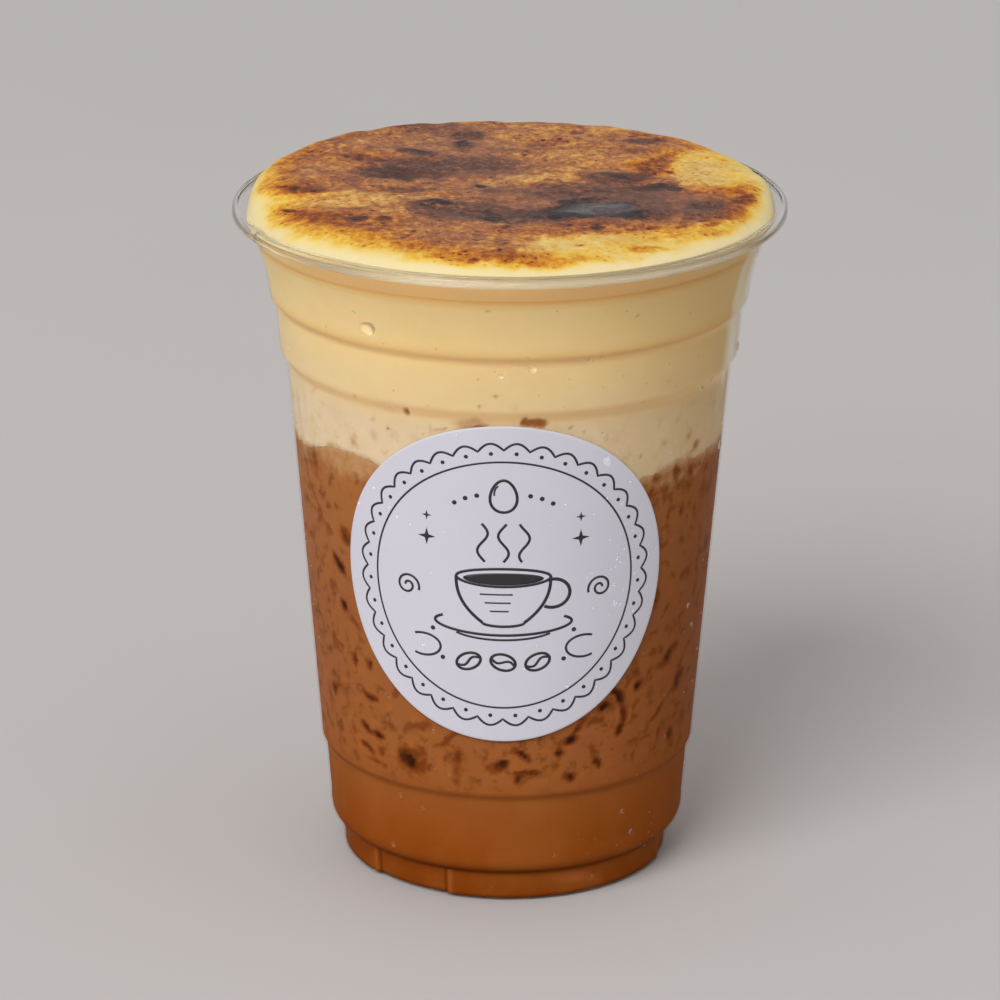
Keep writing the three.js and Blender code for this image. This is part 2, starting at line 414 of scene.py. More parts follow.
def clear_plastic():
    """Thin clear PET, a little wavy from its mould. Its lip has lines of painted dark reflection and
    shade and a line of painted highlight, and its gloss is dull where the drink backs it."""
    look = Look("clear_plastic")
    waves = look.grain(9, detail=1.0)
    scuffs = look.grain(2.4, detail=4.0)
    # The lip's painted highlight is a paler, less clear line, and its painted dark reflection and shade
    # darken the base colour.
    highlighted = look.blend(look.mask("lip_frost"), tone(252, 253, 253), tone(252, 238, 200))
    return look.finish(
        {
            "Base Color": look.blend(look.mask("lip_line"), highlighted, tone(104, 86, 54)),
            "Roughness": look.span(scuffs, 0.02, 0.07),
            "IOR": 1.18,
            "Transmission Weight": look.span(look.mask("lip_frost"), 1.0, 0.4),
            "Normal": look.bump(waves, 0.03),
        },
        shadow=tone(252, 252, 252),
        unseen=look.mask("unseen"),
    )


def water():
    """Condensed drops, a little hazy."""
    look = Look("water")
    return look.finish(
        {
            "Base Color": tone(253, 252, 250),
            "Roughness": look.span(look.grain(0.4), 0.2, 0.45),
            "IOR": 1.11,
            "Transmission Weight": 1.0,
        },
        shadow=tone(252, 252, 252),
    )


# Colours by how far the foam is baked, from bare to burnt: at its middle, and at its fringe, where
# the gold turns to a strong orange before it browns. Then the coffee's, from its floor upwards,
# darker low down with painted shade.
BAKED = (
    (0.0, 232, 215, 164), (0.12, 229, 201, 126), (0.24, 220, 180, 94), (0.36, 205, 152, 80),
    (0.47, 186, 125, 68), (0.58, 164, 103, 62), (0.7, 138, 85, 58), (0.84, 106, 66, 50),
    (1.0, 66, 44, 38),
)
BROWNED = (
    (0.0, 232, 215, 164), (0.08, 234, 208, 132), (0.2, 228, 186, 72), (0.36, 212, 146, 40),
    (0.52, 190, 114, 32), (0.68, 152, 80, 26), (0.84, 112, 54, 22), (1.0, 66, 34, 16),
)
BREWED_WITH_LOW_SHADE = (
    (0.03, 131, 61, 10), (0.17, 145, 75, 24), (0.31, 155, 91, 46), (0.6, 152, 92, 54),
    (1.0, 167, 108, 62),
)


def torched_foam(look, fine, torn):
    """The foam's top: bare cream, then gold and brown, with char, a painted greyish sheen and a wet gloss
    with a painted bluish grey reflection in it.
    """
    blotch, coarse = look.grain(2.4), look.grain(8)
    level = scorch = look.mask("scorch")
    for grain, amount in ((fine, 0.55), (blotch, 0.85), (coarse, 0.4)):
        level = look.vary(level, look.steady(grain, torn), amount)
    clusters = look.times(look.fade(scorch, 0.04, 0.3), look.fade(coarse, 0.36, 0.6))
    for spacing, radius in ((1.5, 0.24), (2.7, 0.2)):
        specks = look.times(look.dots(spacing, radius), clusters)
        level = look.math("MULTIPLY_ADD", specks, 0.32, level)
    char = burnt = look.mask("char")
    for grain, amount in ((fine, 0.8), (blotch, 0.7)):
        char = look.vary(char, look.steady(grain, look.fade(burnt, 0.0, 0.3)), amount)
    # The glossy patch carries a painted bluish grey reflection, laid in rippled streaks.
    ripples = look.grain(1.6, detail=4.0, stretch=(0.4, 1, 1))
    return look.layers(
        look.blend(look.mask("fringe"), look.ramp(level, BAKED), look.ramp(level, BROWNED)),
        (look.times(look.torn("grey_sheen", blotch, 0.7), 0.38), tone(136, 98, 84)),
        (look.times(look.fade(char, 0.0, 0.6), 0.7), tone(88, 60, 50)),
        (look.fade(char, 0.32, 0.8), tone(50, 42, 43)),
        (look.times(look.mask("gloss_and_sheen"), look.fade(ripples, 0.4, 0.6)), tone(88, 89, 94)),
    )


def pressed_foam(look):
    """The foam's side, pressed against the wall: yellow above, milkier and stained below, with painted
    light and shade.
    """
    cloud = look.grain(9, stretch=(1, 1, 1.8))
    upper = look.blend(cloud, tone(226, 195, 134), tone(233, 205, 149))
    lower = look.blend(cloud, tone(213, 190, 150), tone(221, 198, 161))
    curd = look.fade(look.grain(5, detail=2.0), 0.36, 0.76)
    patches = look.fade(look.grain(3.6), 0.5, 0.85)
    # Painted shade: the foam deepens towards the right, away from the key light.
    right_side_shade = look.times(look.fade(look.axis("X"), 0.008, 0.044), look.span(cloud, 0.25, 0.5))
    return look.layers(
        look.blend(look.fade(look.axis("Z"), 0.107, 0.088), upper, lower),
        (look.times(look.mask("milk"), curd), tone(222, 199, 166)),
        (look.times(look.mask("milk"), patches), tone(196, 160, 116)),
        (right_side_shade, tone(196, 150, 72)),
        (look.times(look.dots(3.4, 0.09), 0.4), tone(184, 142, 84)),
        (look.mask("warm"), tone(246, 204, 142)),
        (look.mask("fold"), tone(214, 152, 74)),
        (look.mask("shade_below_lip"), tone(221, 175, 115)),
        (look.mask("gap_light"), tone(238, 230, 208)),
        (look.torn("stain", look.grain(0.9), 0.3), tone(158, 98, 50)),
        (look.torn("mixed", look.grain(1.6, detail=4.0), 0.9, 0.1, 0.9), tone(190, 144, 102)),
    )


def egg_foam():
    """Egg foam: creamy where it is bare, torched from gold through brown to a glossy char."""
    look = Look("egg_foam")
    fine = look.grain(1.0, detail=2.0)
    torn = look.fade(look.mask("scorch"), 0.0, 0.45)
    gloss_and_sheen, pressed = look.mask("gloss_and_sheen"), look.mask("pressed")
    colour = look.blend(pressed, torched_foam(look, fine, torn), pressed_foam(look))
    return look.finish(
        {
            # Painted shade on the foam seen through the lip.
            "Base Color": look.blend(look.mask("lip_band_shade"), colour, tone(206, 186, 150)),
            "Roughness": look.math("MULTIPLY_ADD", gloss_and_sheen, -0.25, look.span(fine, 0.35, 0.65)),
            "Specular IOR Level": look.math("MULTIPLY_ADD", gloss_and_sheen, 0.35, look.span(pressed, 0.15, 0.0)),
            "Subsurface Weight": look.span(pressed, 0.1, 0.35),
            "Subsurface Radius": (1.0, 0.55, 0.3),
            "Subsurface Scale": 2.5 * MM,
            "Normal": look.bump(look.times(fine, torn), 0.3),
        }
    )


def coffee():
    """Milky iced coffee, seen through the plastic, with dark windows where ice lies on the wall, and
    painted shade and glints.
    """
    look = Look("coffee")
    cloud = look.grain(10, stretch=(1, 1, 0.7))
    wisps = look.grain(2.6, detail=4.0)
    height = look.axis("Z")
    icy = look.fade(height, 0.0205, 0.026)
    smudge = look.times(look.fade(wisps, 0.5, 0.34), icy)
    shine = look.times(look.fade(look.grain(2.1, detail=4.0), 0.55, 0.72), icy)
    # Painted shade: the coffee darkens towards the right, away from the key light.
    right_side_shade = look.times(look.fade(look.axis("X"), 0.013, 0.036), look.span(cloud, 0.2, 0.5))
    ice = look.vary(look.mask("ice"), look.grain(1.1), 0.6)
    body = look.layers(
        look.ramp(look.fade(height, 0.0, 0.084, "LINEAR"), BREWED_WITH_LOW_SHADE),
        (look.times(look.fade(cloud, 0.35, 0.65), 0.3), tone(164, 100, 46)),
        (look.times(smudge, 0.6), tone(100, 50, 16)),
        (look.times(shine, 0.5), tone(178, 102, 44)),
        (right_side_shade, tone(116, 52, 10)),
        (look.torn("mixed", look.grain(1.8, detail=4.0), 0.9, 0.15, 0.95), tone(188, 142, 98)),
        (look.times(look.fade(ice, 0.0, 0.5), 0.7), tone(116, 52, 14)),
        (look.fade(ice, 0.36, 1.05), tone(46, 24, 16)),
        (look.mask("fold"), tone(80, 34, 2)),
        (look.mask("glint"), tone(180, 104, 56)),
    )
    rough = look.span(wisps, 0.4, 0.6)
    return look.finish({"Base Color": body, "Roughness": rough, "Specular IOR Level": 0.0})


def sticker_paper():
    """Smooth coated paper with a faint cool cast."""
    look = Look("sticker_paper")
    fibre = look.grain(0.5, detail=4.0)
    cast = look.grain(14, detail=2.0)
    paper = look.blend(cast, tone(205, 204, 215), tone(212, 211, 221))
    return look.finish(
        {
            "Base Color": look.blend(look.times(fibre, 0.12), paper, tone(188, 186, 200)),
            "Roughness": look.span(fibre, 0.4, 0.6),
            "Specular IOR Level": 0.35,
            "Normal": look.bump(fibre, 0.02),
        }
    )


def ink():
    """Black print, slightly uneven."""
    look = Look("ink")
    grain = look.grain(0.7, detail=3.0)
    return look.finish(
        {
            "Base Color": look.blend(grain, tone(26, 25, 30), tone(44, 42, 48)),
            "Roughness": look.span(grain, 0.4, 0.55),
        }
    )


# Cup

def arc(centre, radius, start, end, steps):
    """[radius, height] pairs along an arc between two angles in degrees."""
    angle = np.radians(np.linspace(start, end, steps + 1))
    return np.stack([centre[0] + radius * np.cos(angle), centre[1] + radius * np.sin(angle)], axis=1)


# Heights of the wall's rings: from one, to another, and how many. They lie closer at the steps.
WALL_RINGS = (
    (FOOT_EDGE + 0.3, FOOT_HEIGHT, 12), (FOOT_HEIGHT + 0.15, SHOULDER_TOP, 14),
    (SHOULDER_TOP + 1, 18.5, 6), (19, 23.5, 14), (25, 91, 24), (91.7, 97, 16), (98, 102.5, 6),
    (102.8, 106.5, 14), (107, SKIRT_BOTTOM + 0.1, 44),
)


def cup_outline():
    """The cup's profile as [radius, height] pairs, from the middle of its underside to its floor."""
    heights = np.concatenate([np.linspace(*row) for row in WALL_RINGS])
    groove = NECK_GROOVE["depth"] * bell(heights, NECK_GROOVE["height"], NECK_GROOVE["width"])
    outside = np.stack([outside_radius(heights) - groove, heights], axis=1)
    inside = np.stack([inside_radius(heights), heights], axis=1)[::-1]
    skirt = [(RIM_RADIUS - WALL, SKIRT_BOTTOM), (RIM_RADIUS - WALL / 2, SKIRT_BOTTOM - 0.1)]
    skirt += [(RIM_RADIUS, SKIRT_BOTTOM)]
    under = [(PANEL_RADIUS * share, PANEL_HEIGHT) for share in (0.02, 0.3, 0.6, 0.85, 1)]
    under += [(CHANNEL_RADIUS - 0.4, 0.4), (CHANNEL_RADIUS, 0), (FOOT_RADIUS - FOOT_EDGE, 0)]
    under += [(FOOT_RADIUS - 0.18, 0.18), (FOOT_RADIUS, FOOT_EDGE)]
    floor = [(FOOT_RADIUS - WALL - 0.3, WALL), (CHANNEL_RADIUS + 0.4, WALL), (CHANNEL_RADIUS, WALL + 0.3)]
    floor += [(PANEL_RADIUS + 0.4, PANEL_HEIGHT + WALL)]
    floor += [(PANEL_RADIUS * share, PANEL_HEIGHT + WALL) for share in (0.85, 0.6, 0.3, 0.02)]
    return np.concatenate(
        [
            under,
            outside,
            arc(ROLL_CENTRE, ROLL_RADIUS - WALL, 170, 0, 14),
            skirt,
            arc(ROLL_CENTRE, ROLL_RADIUS, 0, 176, 44),
            inside,
            floor,
        ]
    )


def press_tab(points):
    """The small moulding mark in the lip at the left."""
    away = turn_between(azimuth_of(points), LIP_TAB["azimuth"])
    high = smooth((points[..., 2] - SKIRT_BOTTOM + 1) / 1.2)
    mark = LIP_TAB["depth"] * high * bell(away, 0, LIP_TAB["width"])
    move_in(points, mark)
    points[..., 2] -= 0.5 * mark


# Marks on the rolled lip, by the angle round its roll: 0 is its outermost point, 90 its top. In
# front a painted dark reflection climbs from its angle, and a painted highlight runs below it. At
# the sides the outer edge has a painted dark reflection, and the left has a painted shade cast on
# it. The roll's inner face is clearer.
ROLL_START = -38
DARK_REFLECTION = {"angle": 20, "climb": 34, "at": 5, "reach": 22, "width": 6, "to": 64, "amount": 0.32}
OUTER_EDGE = {"angle": -5, "width": 26, "from": 52, "amount": 0.95}
CAST = {"from": -14, "to": -80, "amount": 0.46}
LIP_HIGHLIGHT = {"angle": -4, "width": 10, "to": 60, "gap": 14, "gap_width": 9, "amount": 0.7}
INNER_FACE = {"low": 117, "unseen": 0.6, "from": 66, "more": 0.32}
# Where the drink backs the wall its gloss goes partly unseen: below a height, over a reach, by a
# share.
BACKED = ((118, 2, 0.6), (84, 3, 0.15), (30, 4, 0.1))


def lip_marks(radius, height, azimuth):
    """Painted dark reflection and shade, painted highlight, and how hard to see the cup is, along its
    outline.
    """
    away = np.abs(azimuth)
    from_middle = np.hypot(radius - ROLL_CENTRE[0], height - ROLL_CENTRE[1])
    angle = np.degrees(np.arctan2(height - ROLL_CENTRE[1], radius - ROLL_CENTRE[0]))
    on_roll = smooth((from_middle - ROLL_RADIUS + 0.2) / 0.1) * smooth((angle - ROLL_START) / 6)

    dark_reflection_angle = DARK_REFLECTION["angle"] + DARK_REFLECTION["climb"] * bell(azimuth, DARK_REFLECTION["at"], DARK_REFLECTION["reach"])
    dark_reflection = on_roll * bell(angle, dark_reflection_angle, DARK_REFLECTION["width"]) * smooth((DARK_REFLECTION["to"] - away) / 8)
    outer_edge = on_roll * bell(angle, OUTER_EDGE["angle"], OUTER_EDGE["width"])
    outer_edge = OUTER_EDGE["amount"] * outer_edge * smooth((away - OUTER_EDGE["from"]) / 14)
    cast = CAST["amount"] * on_roll * smooth((CAST["from"] - azimuth) / 26)
    cast = cast * smooth((azimuth - CAST["to"]) / 14)
    dark = np.maximum(cast + DARK_REFLECTION["amount"] * dark_reflection, outer_edge)

    front = smooth((LIP_HIGHLIGHT["to"] - away) / 8) * (1 - 0.7 * bell(azimuth, LIP_HIGHLIGHT["gap"], LIP_HIGHLIGHT["gap_width"]))
    frost = LIP_HIGHLIGHT["amount"] * on_roll * bell(angle, LIP_HIGHLIGHT["angle"], LIP_HIGHLIGHT["width"]) * front
    inner_face = smooth((ROLL_CENTRE[0] + 0.3 - radius) / 0.3) * (height > INNER_FACE["low"])
    clearer = INNER_FACE["more"] * smooth((away - INNER_FACE["from"]) / 10)
    behind = sum(share * smooth((top - height) / reach) for top, reach, share in BACKED)
    unseen = np.maximum(behind, inner_face * (INNER_FACE["unseen"] + clearer))
    return dark, frost, unseen


def make_cup():
    outline = cup_outline()
    rings = around(outline[:, 0], outline[:, 1], CUP_SEGMENTS)
    azimuth = azimuth_of(rings)
    press_notches(rings)
    lift_rim(rings)
    press_tab(rings)
    shell = turned("cup_shell", rings, clear_plastic())
    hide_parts("cup")
    radius, height = (np.repeat(column[:, None], CUP_SEGMENTS, axis=1) for column in outline.T)
    dark, frost, unseen = lip_marks(radius, height, azimuth)
    paint(shell, rings, lip_line=dark, lip_frost=frost, unseen=unseen)


# Foam

def foam_bottom(x, y):
    """Height of the uneven surface between the coffee and the foam."""
    a = np.arctan2(x, -y)
    spread = np.hypot(x, y) / outside_radius(FOAM_BOTTOM)
    lap = LAP["rise"] * np.exp(-(((a - LAP["azimuth"]) / LAP["width"]) ** 4))
    waves = SEAM["front"] * np.cos(a) - SEAM["drop"] + SEAM["ripple"] * np.sin(SEAM["ripples"] * a)
    points = np.stack([x, y, np.zeros_like(x)], axis=-1)
    rough = sum(rise * fractal(points, size, seed) for rise, size, seed in SEAM_ROUGHNESS)
    return FOAM_BOTTOM + spread * (lap + waves + rough)


def boundary():
    """Points on the wall, one per segment, where the coffee meets the foam."""
    start = around([outside_radius(FOAM_BOTTOM)], [FOAM_BOTTOM])
    height = foam_bottom(start[..., 0], start[..., 1])
    return around(inside_radius(height) + REACH, height)


# How far out the rings across this surface lie, as shares of the way from the middle to the wall.
ACROSS = np.array([0.02, 0.3, 0.6, 0.85, 0.97])


def seam_rings(seam):
    """Rings of the surface between the coffee and the foam, from the middle outwards."""
    rings = seam * ACROSS[:, None, None]
    rings[..., 2] = foam_bottom(rings[..., 0], rings[..., 1])
    return rings


def blisters(x, y):
    """Low bumps and hollows that the torch leaves in the foam."""
    swell = 0.3 * np.sin(0.16 * x + 0.9) * np.cos(0.19 * y - 0.4)
    ripple = 0.22 * np.sin(0.33 * x + 0.21 * y) * np.sin(0.41 * y - 0.12 * x + 1.3)
    pock = 0.12 * np.sin(0.62 * x - 0.35 * y + 2) * np.cos(0.55 * y + 0.28 * x)
    return swell + ripple + pock


# Height of the foam's upper edge at an azimuth. In front it laps over the rolled lip.
FOAM_EDGE = (
    (-180, 121.4), (-130, 121.2), (-112, 120), (-98, 119.2), (-76, 119.2), (-60, 119.8), (-45, 120.9),
    (-30, 121.6), (-15, 121.75), (30, 121.75), (45, 121.6), (60, 121), (75, 120.4), (92, 119.8),
    (108, 120.6), (130, 121.3), (180, 121.4),
)


def wall_face(height):
    """Radius of the face that the foam lies against: the wall's inner face, then the rolled lip."""
    over_roll = np.clip(height - ROLL_CENTRE[1], 0, ROLL_RADIUS)
    lip_face = ROLL_CENTRE[0] - np.sqrt(ROLL_RADIUS**2 - over_roll**2)
    return np.where(over_roll > 0, lip_face, inside_radius(height))


def foam_edge(x, y):
    """Radius and height of the foam's upper edge in the direction of a point."""
    azimuth = np.degrees(np.arctan2(x, -y))
    near = [turn_between(azimuth, away) for away in range(-12, 13, 4)]
    height = np.mean([np.interp(place, *zip(*FOAM_EDGE)) for place in near], axis=0)
    return wall_face(height) + REACH, height


def foam_top(x, y):
    """Height of the foam's top, and how far it has fallen from the crown towards its edge."""
    edge_radius, edge_height = foam_edge(x, y)
    share = np.clip(np.hypot(x, y) / edge_radius, 0, 1)
    away = np.abs(np.degrees(np.arctan2(x, -y)))
    behind = smooth((away - CROWN_FALL["from"]) / (CROWN_FALL["to"] - CROWN_FALL["from"]))
    falls = zip(CROWN_FALL["front"], CROWN_FALL["back"])
    power, rounding = (front + (back - front) * behind for front, back in falls)
    dome = (1 - share**power) ** rounding
    swell = 0
    for swell_x, swell_y, reach, rise in CROWN_SWELLS:
        swell = swell + rise * bell(np.hypot(x - swell_x, y - swell_y), 0, reach)
    tilt = (CROWN["back"] * y - CROWN["left"] * x) / FOAM_EDGE_RADIUS
    crown = FOAM_EDGE_HEIGHT + CROWN["mean"] + tilt + swell + blisters(x, y)
    height = edge_height + dome * (crown - edge_height)
    return height, crown - height


# How far out the torched skin reaches at an azimuth. Outside it the foam is bare.
TORCHED_REACH = (
    (-180, 49.5), (-130, 48.8), (-112, 47), (-100, 46), (-85, 45.4), (-65, 45.3), (-40, 45.6),
    (-28, 45.6), (-14, 46.2), (-2, 47), (8, 47), (20, 46.4), (35, 46), (52, 45.8), (68, 45.8),
    (85, 45.6), (95, 46.2), (120, 48.2), (150, 49.5), (180, 49.5),
)
# How far it is baked between the marks, from 0 to 1.
TORCHED_LEVEL = 0.58
# How deep the torch leaves grains and cracks in the skin, in mm.
SKIN_GRAIN = 0.11
SKIN_CRACKS = 0.15

# Marks on the foam's top: x, y, half width, half depth and amount, then the turn, if not 0, and
# the softness, if not 1. Their places are for a crown that rises by MARK_CROWN and runs level to
# its edge. Where the foam lies lower, a mark sits further back, by MARK_SLIP times the drop.
MARK_CROWN = 4.15
MARK_SLIP = 2.85
LIGHT_MARKS = (
    (38.5, 11, 12, 13.5, 0.36, 0, 0.7), (17, -39, 15, 7, 0.38, 10, 0.8),
    (-30, -12.5, 16, 4.2, 0.21, 2, 0.9), (-41, -14.7, 6, 5, 0.1), (4, 2, 9, 3.4, 0.16),
    (10, 13, 14, 8, 0.1), (4, 33, 6, 6, 0.09), (19, 36, 5, 4, 0.12), (-30, -35.5, 15, 5, 0.18, -42),
    (-14, -45, 10, 4, 0.12, -14), (-21, -20, 5, 2.2, 0.14), (31, -28, 10, 3, 0.22, 20),
    (3, -12, 5, 4, 0.26),
)
DARK_MARKS = (
    (-37, -7, 4.4, 1.8, 0.26), (-33, -8.2, 1.4, 0.9, 0.25, 0, 0.8), (-32, -25, 7, 4.5, 0.14, -45),
    (-26.5, -24.8, 2.2, 1.5, 0.3, 0, 0.8), (-22, -25.5, 1.4, 1, 0.28, 0, 0.8),
    (-38.3, -18.4, 1.6, 1, 0.35, 0, 0.8), (-12, -21, 6, 3.4, 0.2, -30), (-22, 5, 6, 3.4, 0.28, 10, 0.9),
    (-4, -18, 13, 5, 0.16, -12), (-26, 14, 4.4, 2.4, 0.27, -25), (-17, 18, 3.4, 2, 0.4, -30, 0.8),
    (-9, 10, 14, 7, 0.26, 10), (-9, 24.5, 2.4, 2.6, 0.4, 0, 0.8), (-7.5, 31, 3.6, 3.2, 0.28),
    (-15, 37, 8, 4.4, 0.16), (-18, -5, 4, 1.9, 0.22), (-4.5, -1.5, 1.2, 0.9, 0.35, 0, 0.7),
    (-3, -5.5, 2.2, 1.8, 0.28, -45, 0.9), (5.5, -6.5, 1.1, 0.8, 0.3, 0, 0.8),
    (7, 0.5, 0.9, 0.8, 0.3, 0, 0.8), (13, -13, 16, 12, 0.3, 8, 0.9), (18, 4, 6, 3.4, 0.28, 0, 0.9),
    (26, -2, 4.4, 2.6, 0.34, -20, 0.8), (34, -13, 4.6, 2.8, 0.26, 20, 0.9),
    (41, -10.2, 2.6, 2.2, 0.3, 0, 0.8), (36, -17.5, 7, 4.6, 0.2, 15), (26.5, -17, 2.6, 4, 0.24, 0, 0.9),
    (0.3, -29, 0.9, 1.3, 0.35, 0, 0.7), (15, -27.7, 1.4, 1.7, 0.4, 0, 0.6),
    (21, -29.5, 0.9, 0.8, 0.3, 0, 0.7), (25, -28, 1.3, 0.8, 0.3, 0, 0.7), (30, -26.5, 1.8, 1, 0.3, 30, 0.7),
    (34.4, -25.5, 1.6, 0.9, 0.3, 20, 0.7), (38.2, -21.7, 1.1, 0.8, 0.35, 0, 0.7),
    (-6.3, -48.4, 1, 1.7, 0.75, 0, 0.5), (24, 28.3, 4, 1.7, 0.25, 10, 0.9),
    (12, 33.5, 1.4, 1.8, 0.26, 0, 0.8), (22, 20.5, 2.4, 1.4, 0.2, 0, 0.9),
    (28.2, 8.2, 0.9, 1.1, 0.55, 0, 0.6), (23.5, -40.3, 3.6, 2, 0.36, 8, 0.8),
    (12, -39.2, 1, 0.8, 0.25, 0, 0.8), (26.6, 12, 2, 9.5, 0.28, -26), (-3, -46, 8, 3.6, 0.1),
)
CHAR_MARKS = (
    (-14, -15.5, 4, 1.8, 0.55, 10, 0.9), (-8, -14.5, 5.5, 1.8, 0.35, -10), (-5, -21, 5, 3.2, 0.5, -30),
    (2, -24, 6, 2.2, 0.4), (10.5, -21.6, 4, 1.8, 0.6, 5, 0.8), (6, -18, 6, 4.4, 0.4, 20),
    (15, -17, 9, 4.8, 0.6, 5, 0.8), (12, -11, 5, 2, 0.55, 15, 0.9), (20.5, -12.5, 3, 1.8, 0.4, 0, 0.9),
    (23, -20.5, 5, 2.4, 0.52, -10, 0.9), (16, -5, 10, 3.4, 0.35, 5), (19, 5, 3.6, 1.8, 0.52, -15, 0.9),
    (26.5, -1, 3.6, 2.1, 0.5, -15, 0.9), (34, -13, 3.4, 2, 0.5, 20, 0.9), (-21.5, 6.8, 3, 1.7, 0.38, 10),
    (-10, 10, 10, 4.4, 0.34, 5), (-17, 18.3, 2.2, 1.4, 0.7, -20, 0.8), (-9, 25, 1.7, 2.1, 0.7, 0, 0.8),
    (-7.5, 31, 3.4, 2.6, 0.45), (-15, 38, 7, 4, 0.3), (-18, -4.8, 3.4, 1.4, 0.35),
    (-4.5, -1.6, 1.2, 1, 0.8, 0, 0.8), (-26.6, -25, 1.5, 1, 0.5, 0, 0.9), (24.5, 28.3, 3.4, 1.3, 0.3, 10),
)
# A painted greyish sheen where the burnt top's gloss catches the light.
GREY_SHEEN_MARKS = (
    (-8, 13, 11, 22, 0.65), (15, -11, 18, 9, 0.9, -8), (-10, -18, 12, 5.5, 0.6, -20), (-5, -28, 13, 9, 0.3),
    (35, -12, 8, 6, 0.45, 10), (-30, 26, 12, 9, 0.3, -20), (18, 5, 8, 5, 0.5),
)
# A wet, glossy patch, with a painted bluish grey reflection in it.
GLOSS_AND_SHEEN_MARK = (15, -16.5, 6.5, 3.2, 0.85, 5, 0.9)
# Where the gold turns to a strong orange before it browns.
FRINGE_MARKS = (
    (27, 13, 5, 11, 0.9, -30), (37, -6, 8, 4, 0.6), (16, -30, 18, 5, 0.6, 5), (-38, -8, 8, 4, 0.6),
    (-28, 14, 8, 5, 0.5), (-26, -29, 18, 7, 0.5, -38),
)

# Marks on the wall: azimuth, height, half length, half thickness and amount, then the turn, if
# not 0, and the softness, if not 1.
FOAM_STAINS = (
    (-26.3, 94.3, 0.7, 0.95, 0.9, 0, 0.6), (-31, 94.6, 2.6, 1.3, 0.16), (6.3, 93.3, 2.3, 0.9, 0.95, 0, 0.4),
    (3.6, 93.6, 0.7, 0.9, 1, 0, 0.4), (-9.5, 93, 3.2, 1.2, 0.5, 0, 0.7),
    (-7.5, 92.4, 1.8, 0.5, 0.9, 8, 0.5), (-37, 91.4, 0.7, 0.7, 0.4, 0, 0.8),
    (-37, 88.5, 1, 1.2, 0.35, 10, 0.9), (-50, 89.5, 3.4, 2.2, 0.16, -30), (-43.5, 86, 1.2, 0.8, 0.5, -30),
    (-58, 88.6, 1.4, 1, 0.2, 30), (-60, 93, 1.6, 0.5, 0.3, 45), (-19.8, 91.5, 0.5, 0.9, 0.4, 10, 0.8),
    (-18, 91.6, 0.5, 0.4, 0.5, 0, 0.8), (-16.4, 91.8, 0.5, 0.4, 0.6, 0, 0.8),
    (-32, 90.3, 0.4, 0.4, 0.9, 0, 0.7), (-3, 98.6, 0.5, 0.4, 0.6, 0, 0.8),
    (-7, 96.3, 0.45, 0.45, 0.7, 0, 0.8), (1.4, 96.6, 0.8, 1, 0.2), (-41, 95.2, 0.4, 0.6, 0.4),
    (15.4, 92.4, 0.5, 0.4, 0.8, 0, 0.7), (19.4, 91, 0.4, 0.3, 0.6, 0, 0.8), (25.4, 89.4, 0.7, 0.9, 0.4),
    (-5, 114.7, 0.35, 0.3, 0.7, 0, 0.8), (30, 112, 0.35, 0.35, 0.5, 0, 0.8), (42, 98, 0.8, 0.4, 0.35, -30),
    (36, 84.8, 0.5, 0.4, 0.7, 0, 0.8), (54, 85.8, 0.8, 0.5, 0.5), (58.4, 83.5, 1.2, 0.9, 0.8, 20, 0.8),
    (56, 82.6, 1.6, 0.6, 0.5), (-80, 85.5, 4.5, 1.2, 0.4, 80), (-72, 86.5, 4, 0.9, 0.4, 100),
    (-66, 90.5, 2.6, 0.8, 0.25, 95), (78, 88, 4, 0.7, 0.3, 88),
)
CREAM_STREAKS = (
    (-48, 82, 13, 3, 0.7, 0, 0.9), (-70, 80.6, 4.6, 0.9, 0.75, -62, 0.9), (-60, 80, 4, 1.2, 0.35, -40),
    (60, 78.4, 4, 0.8, 0.5, 15), (74, 78.2, 2.6, 0.5, 0.5, 65), (48, 78.6, 6, 1.4, 0.6, 4),
)
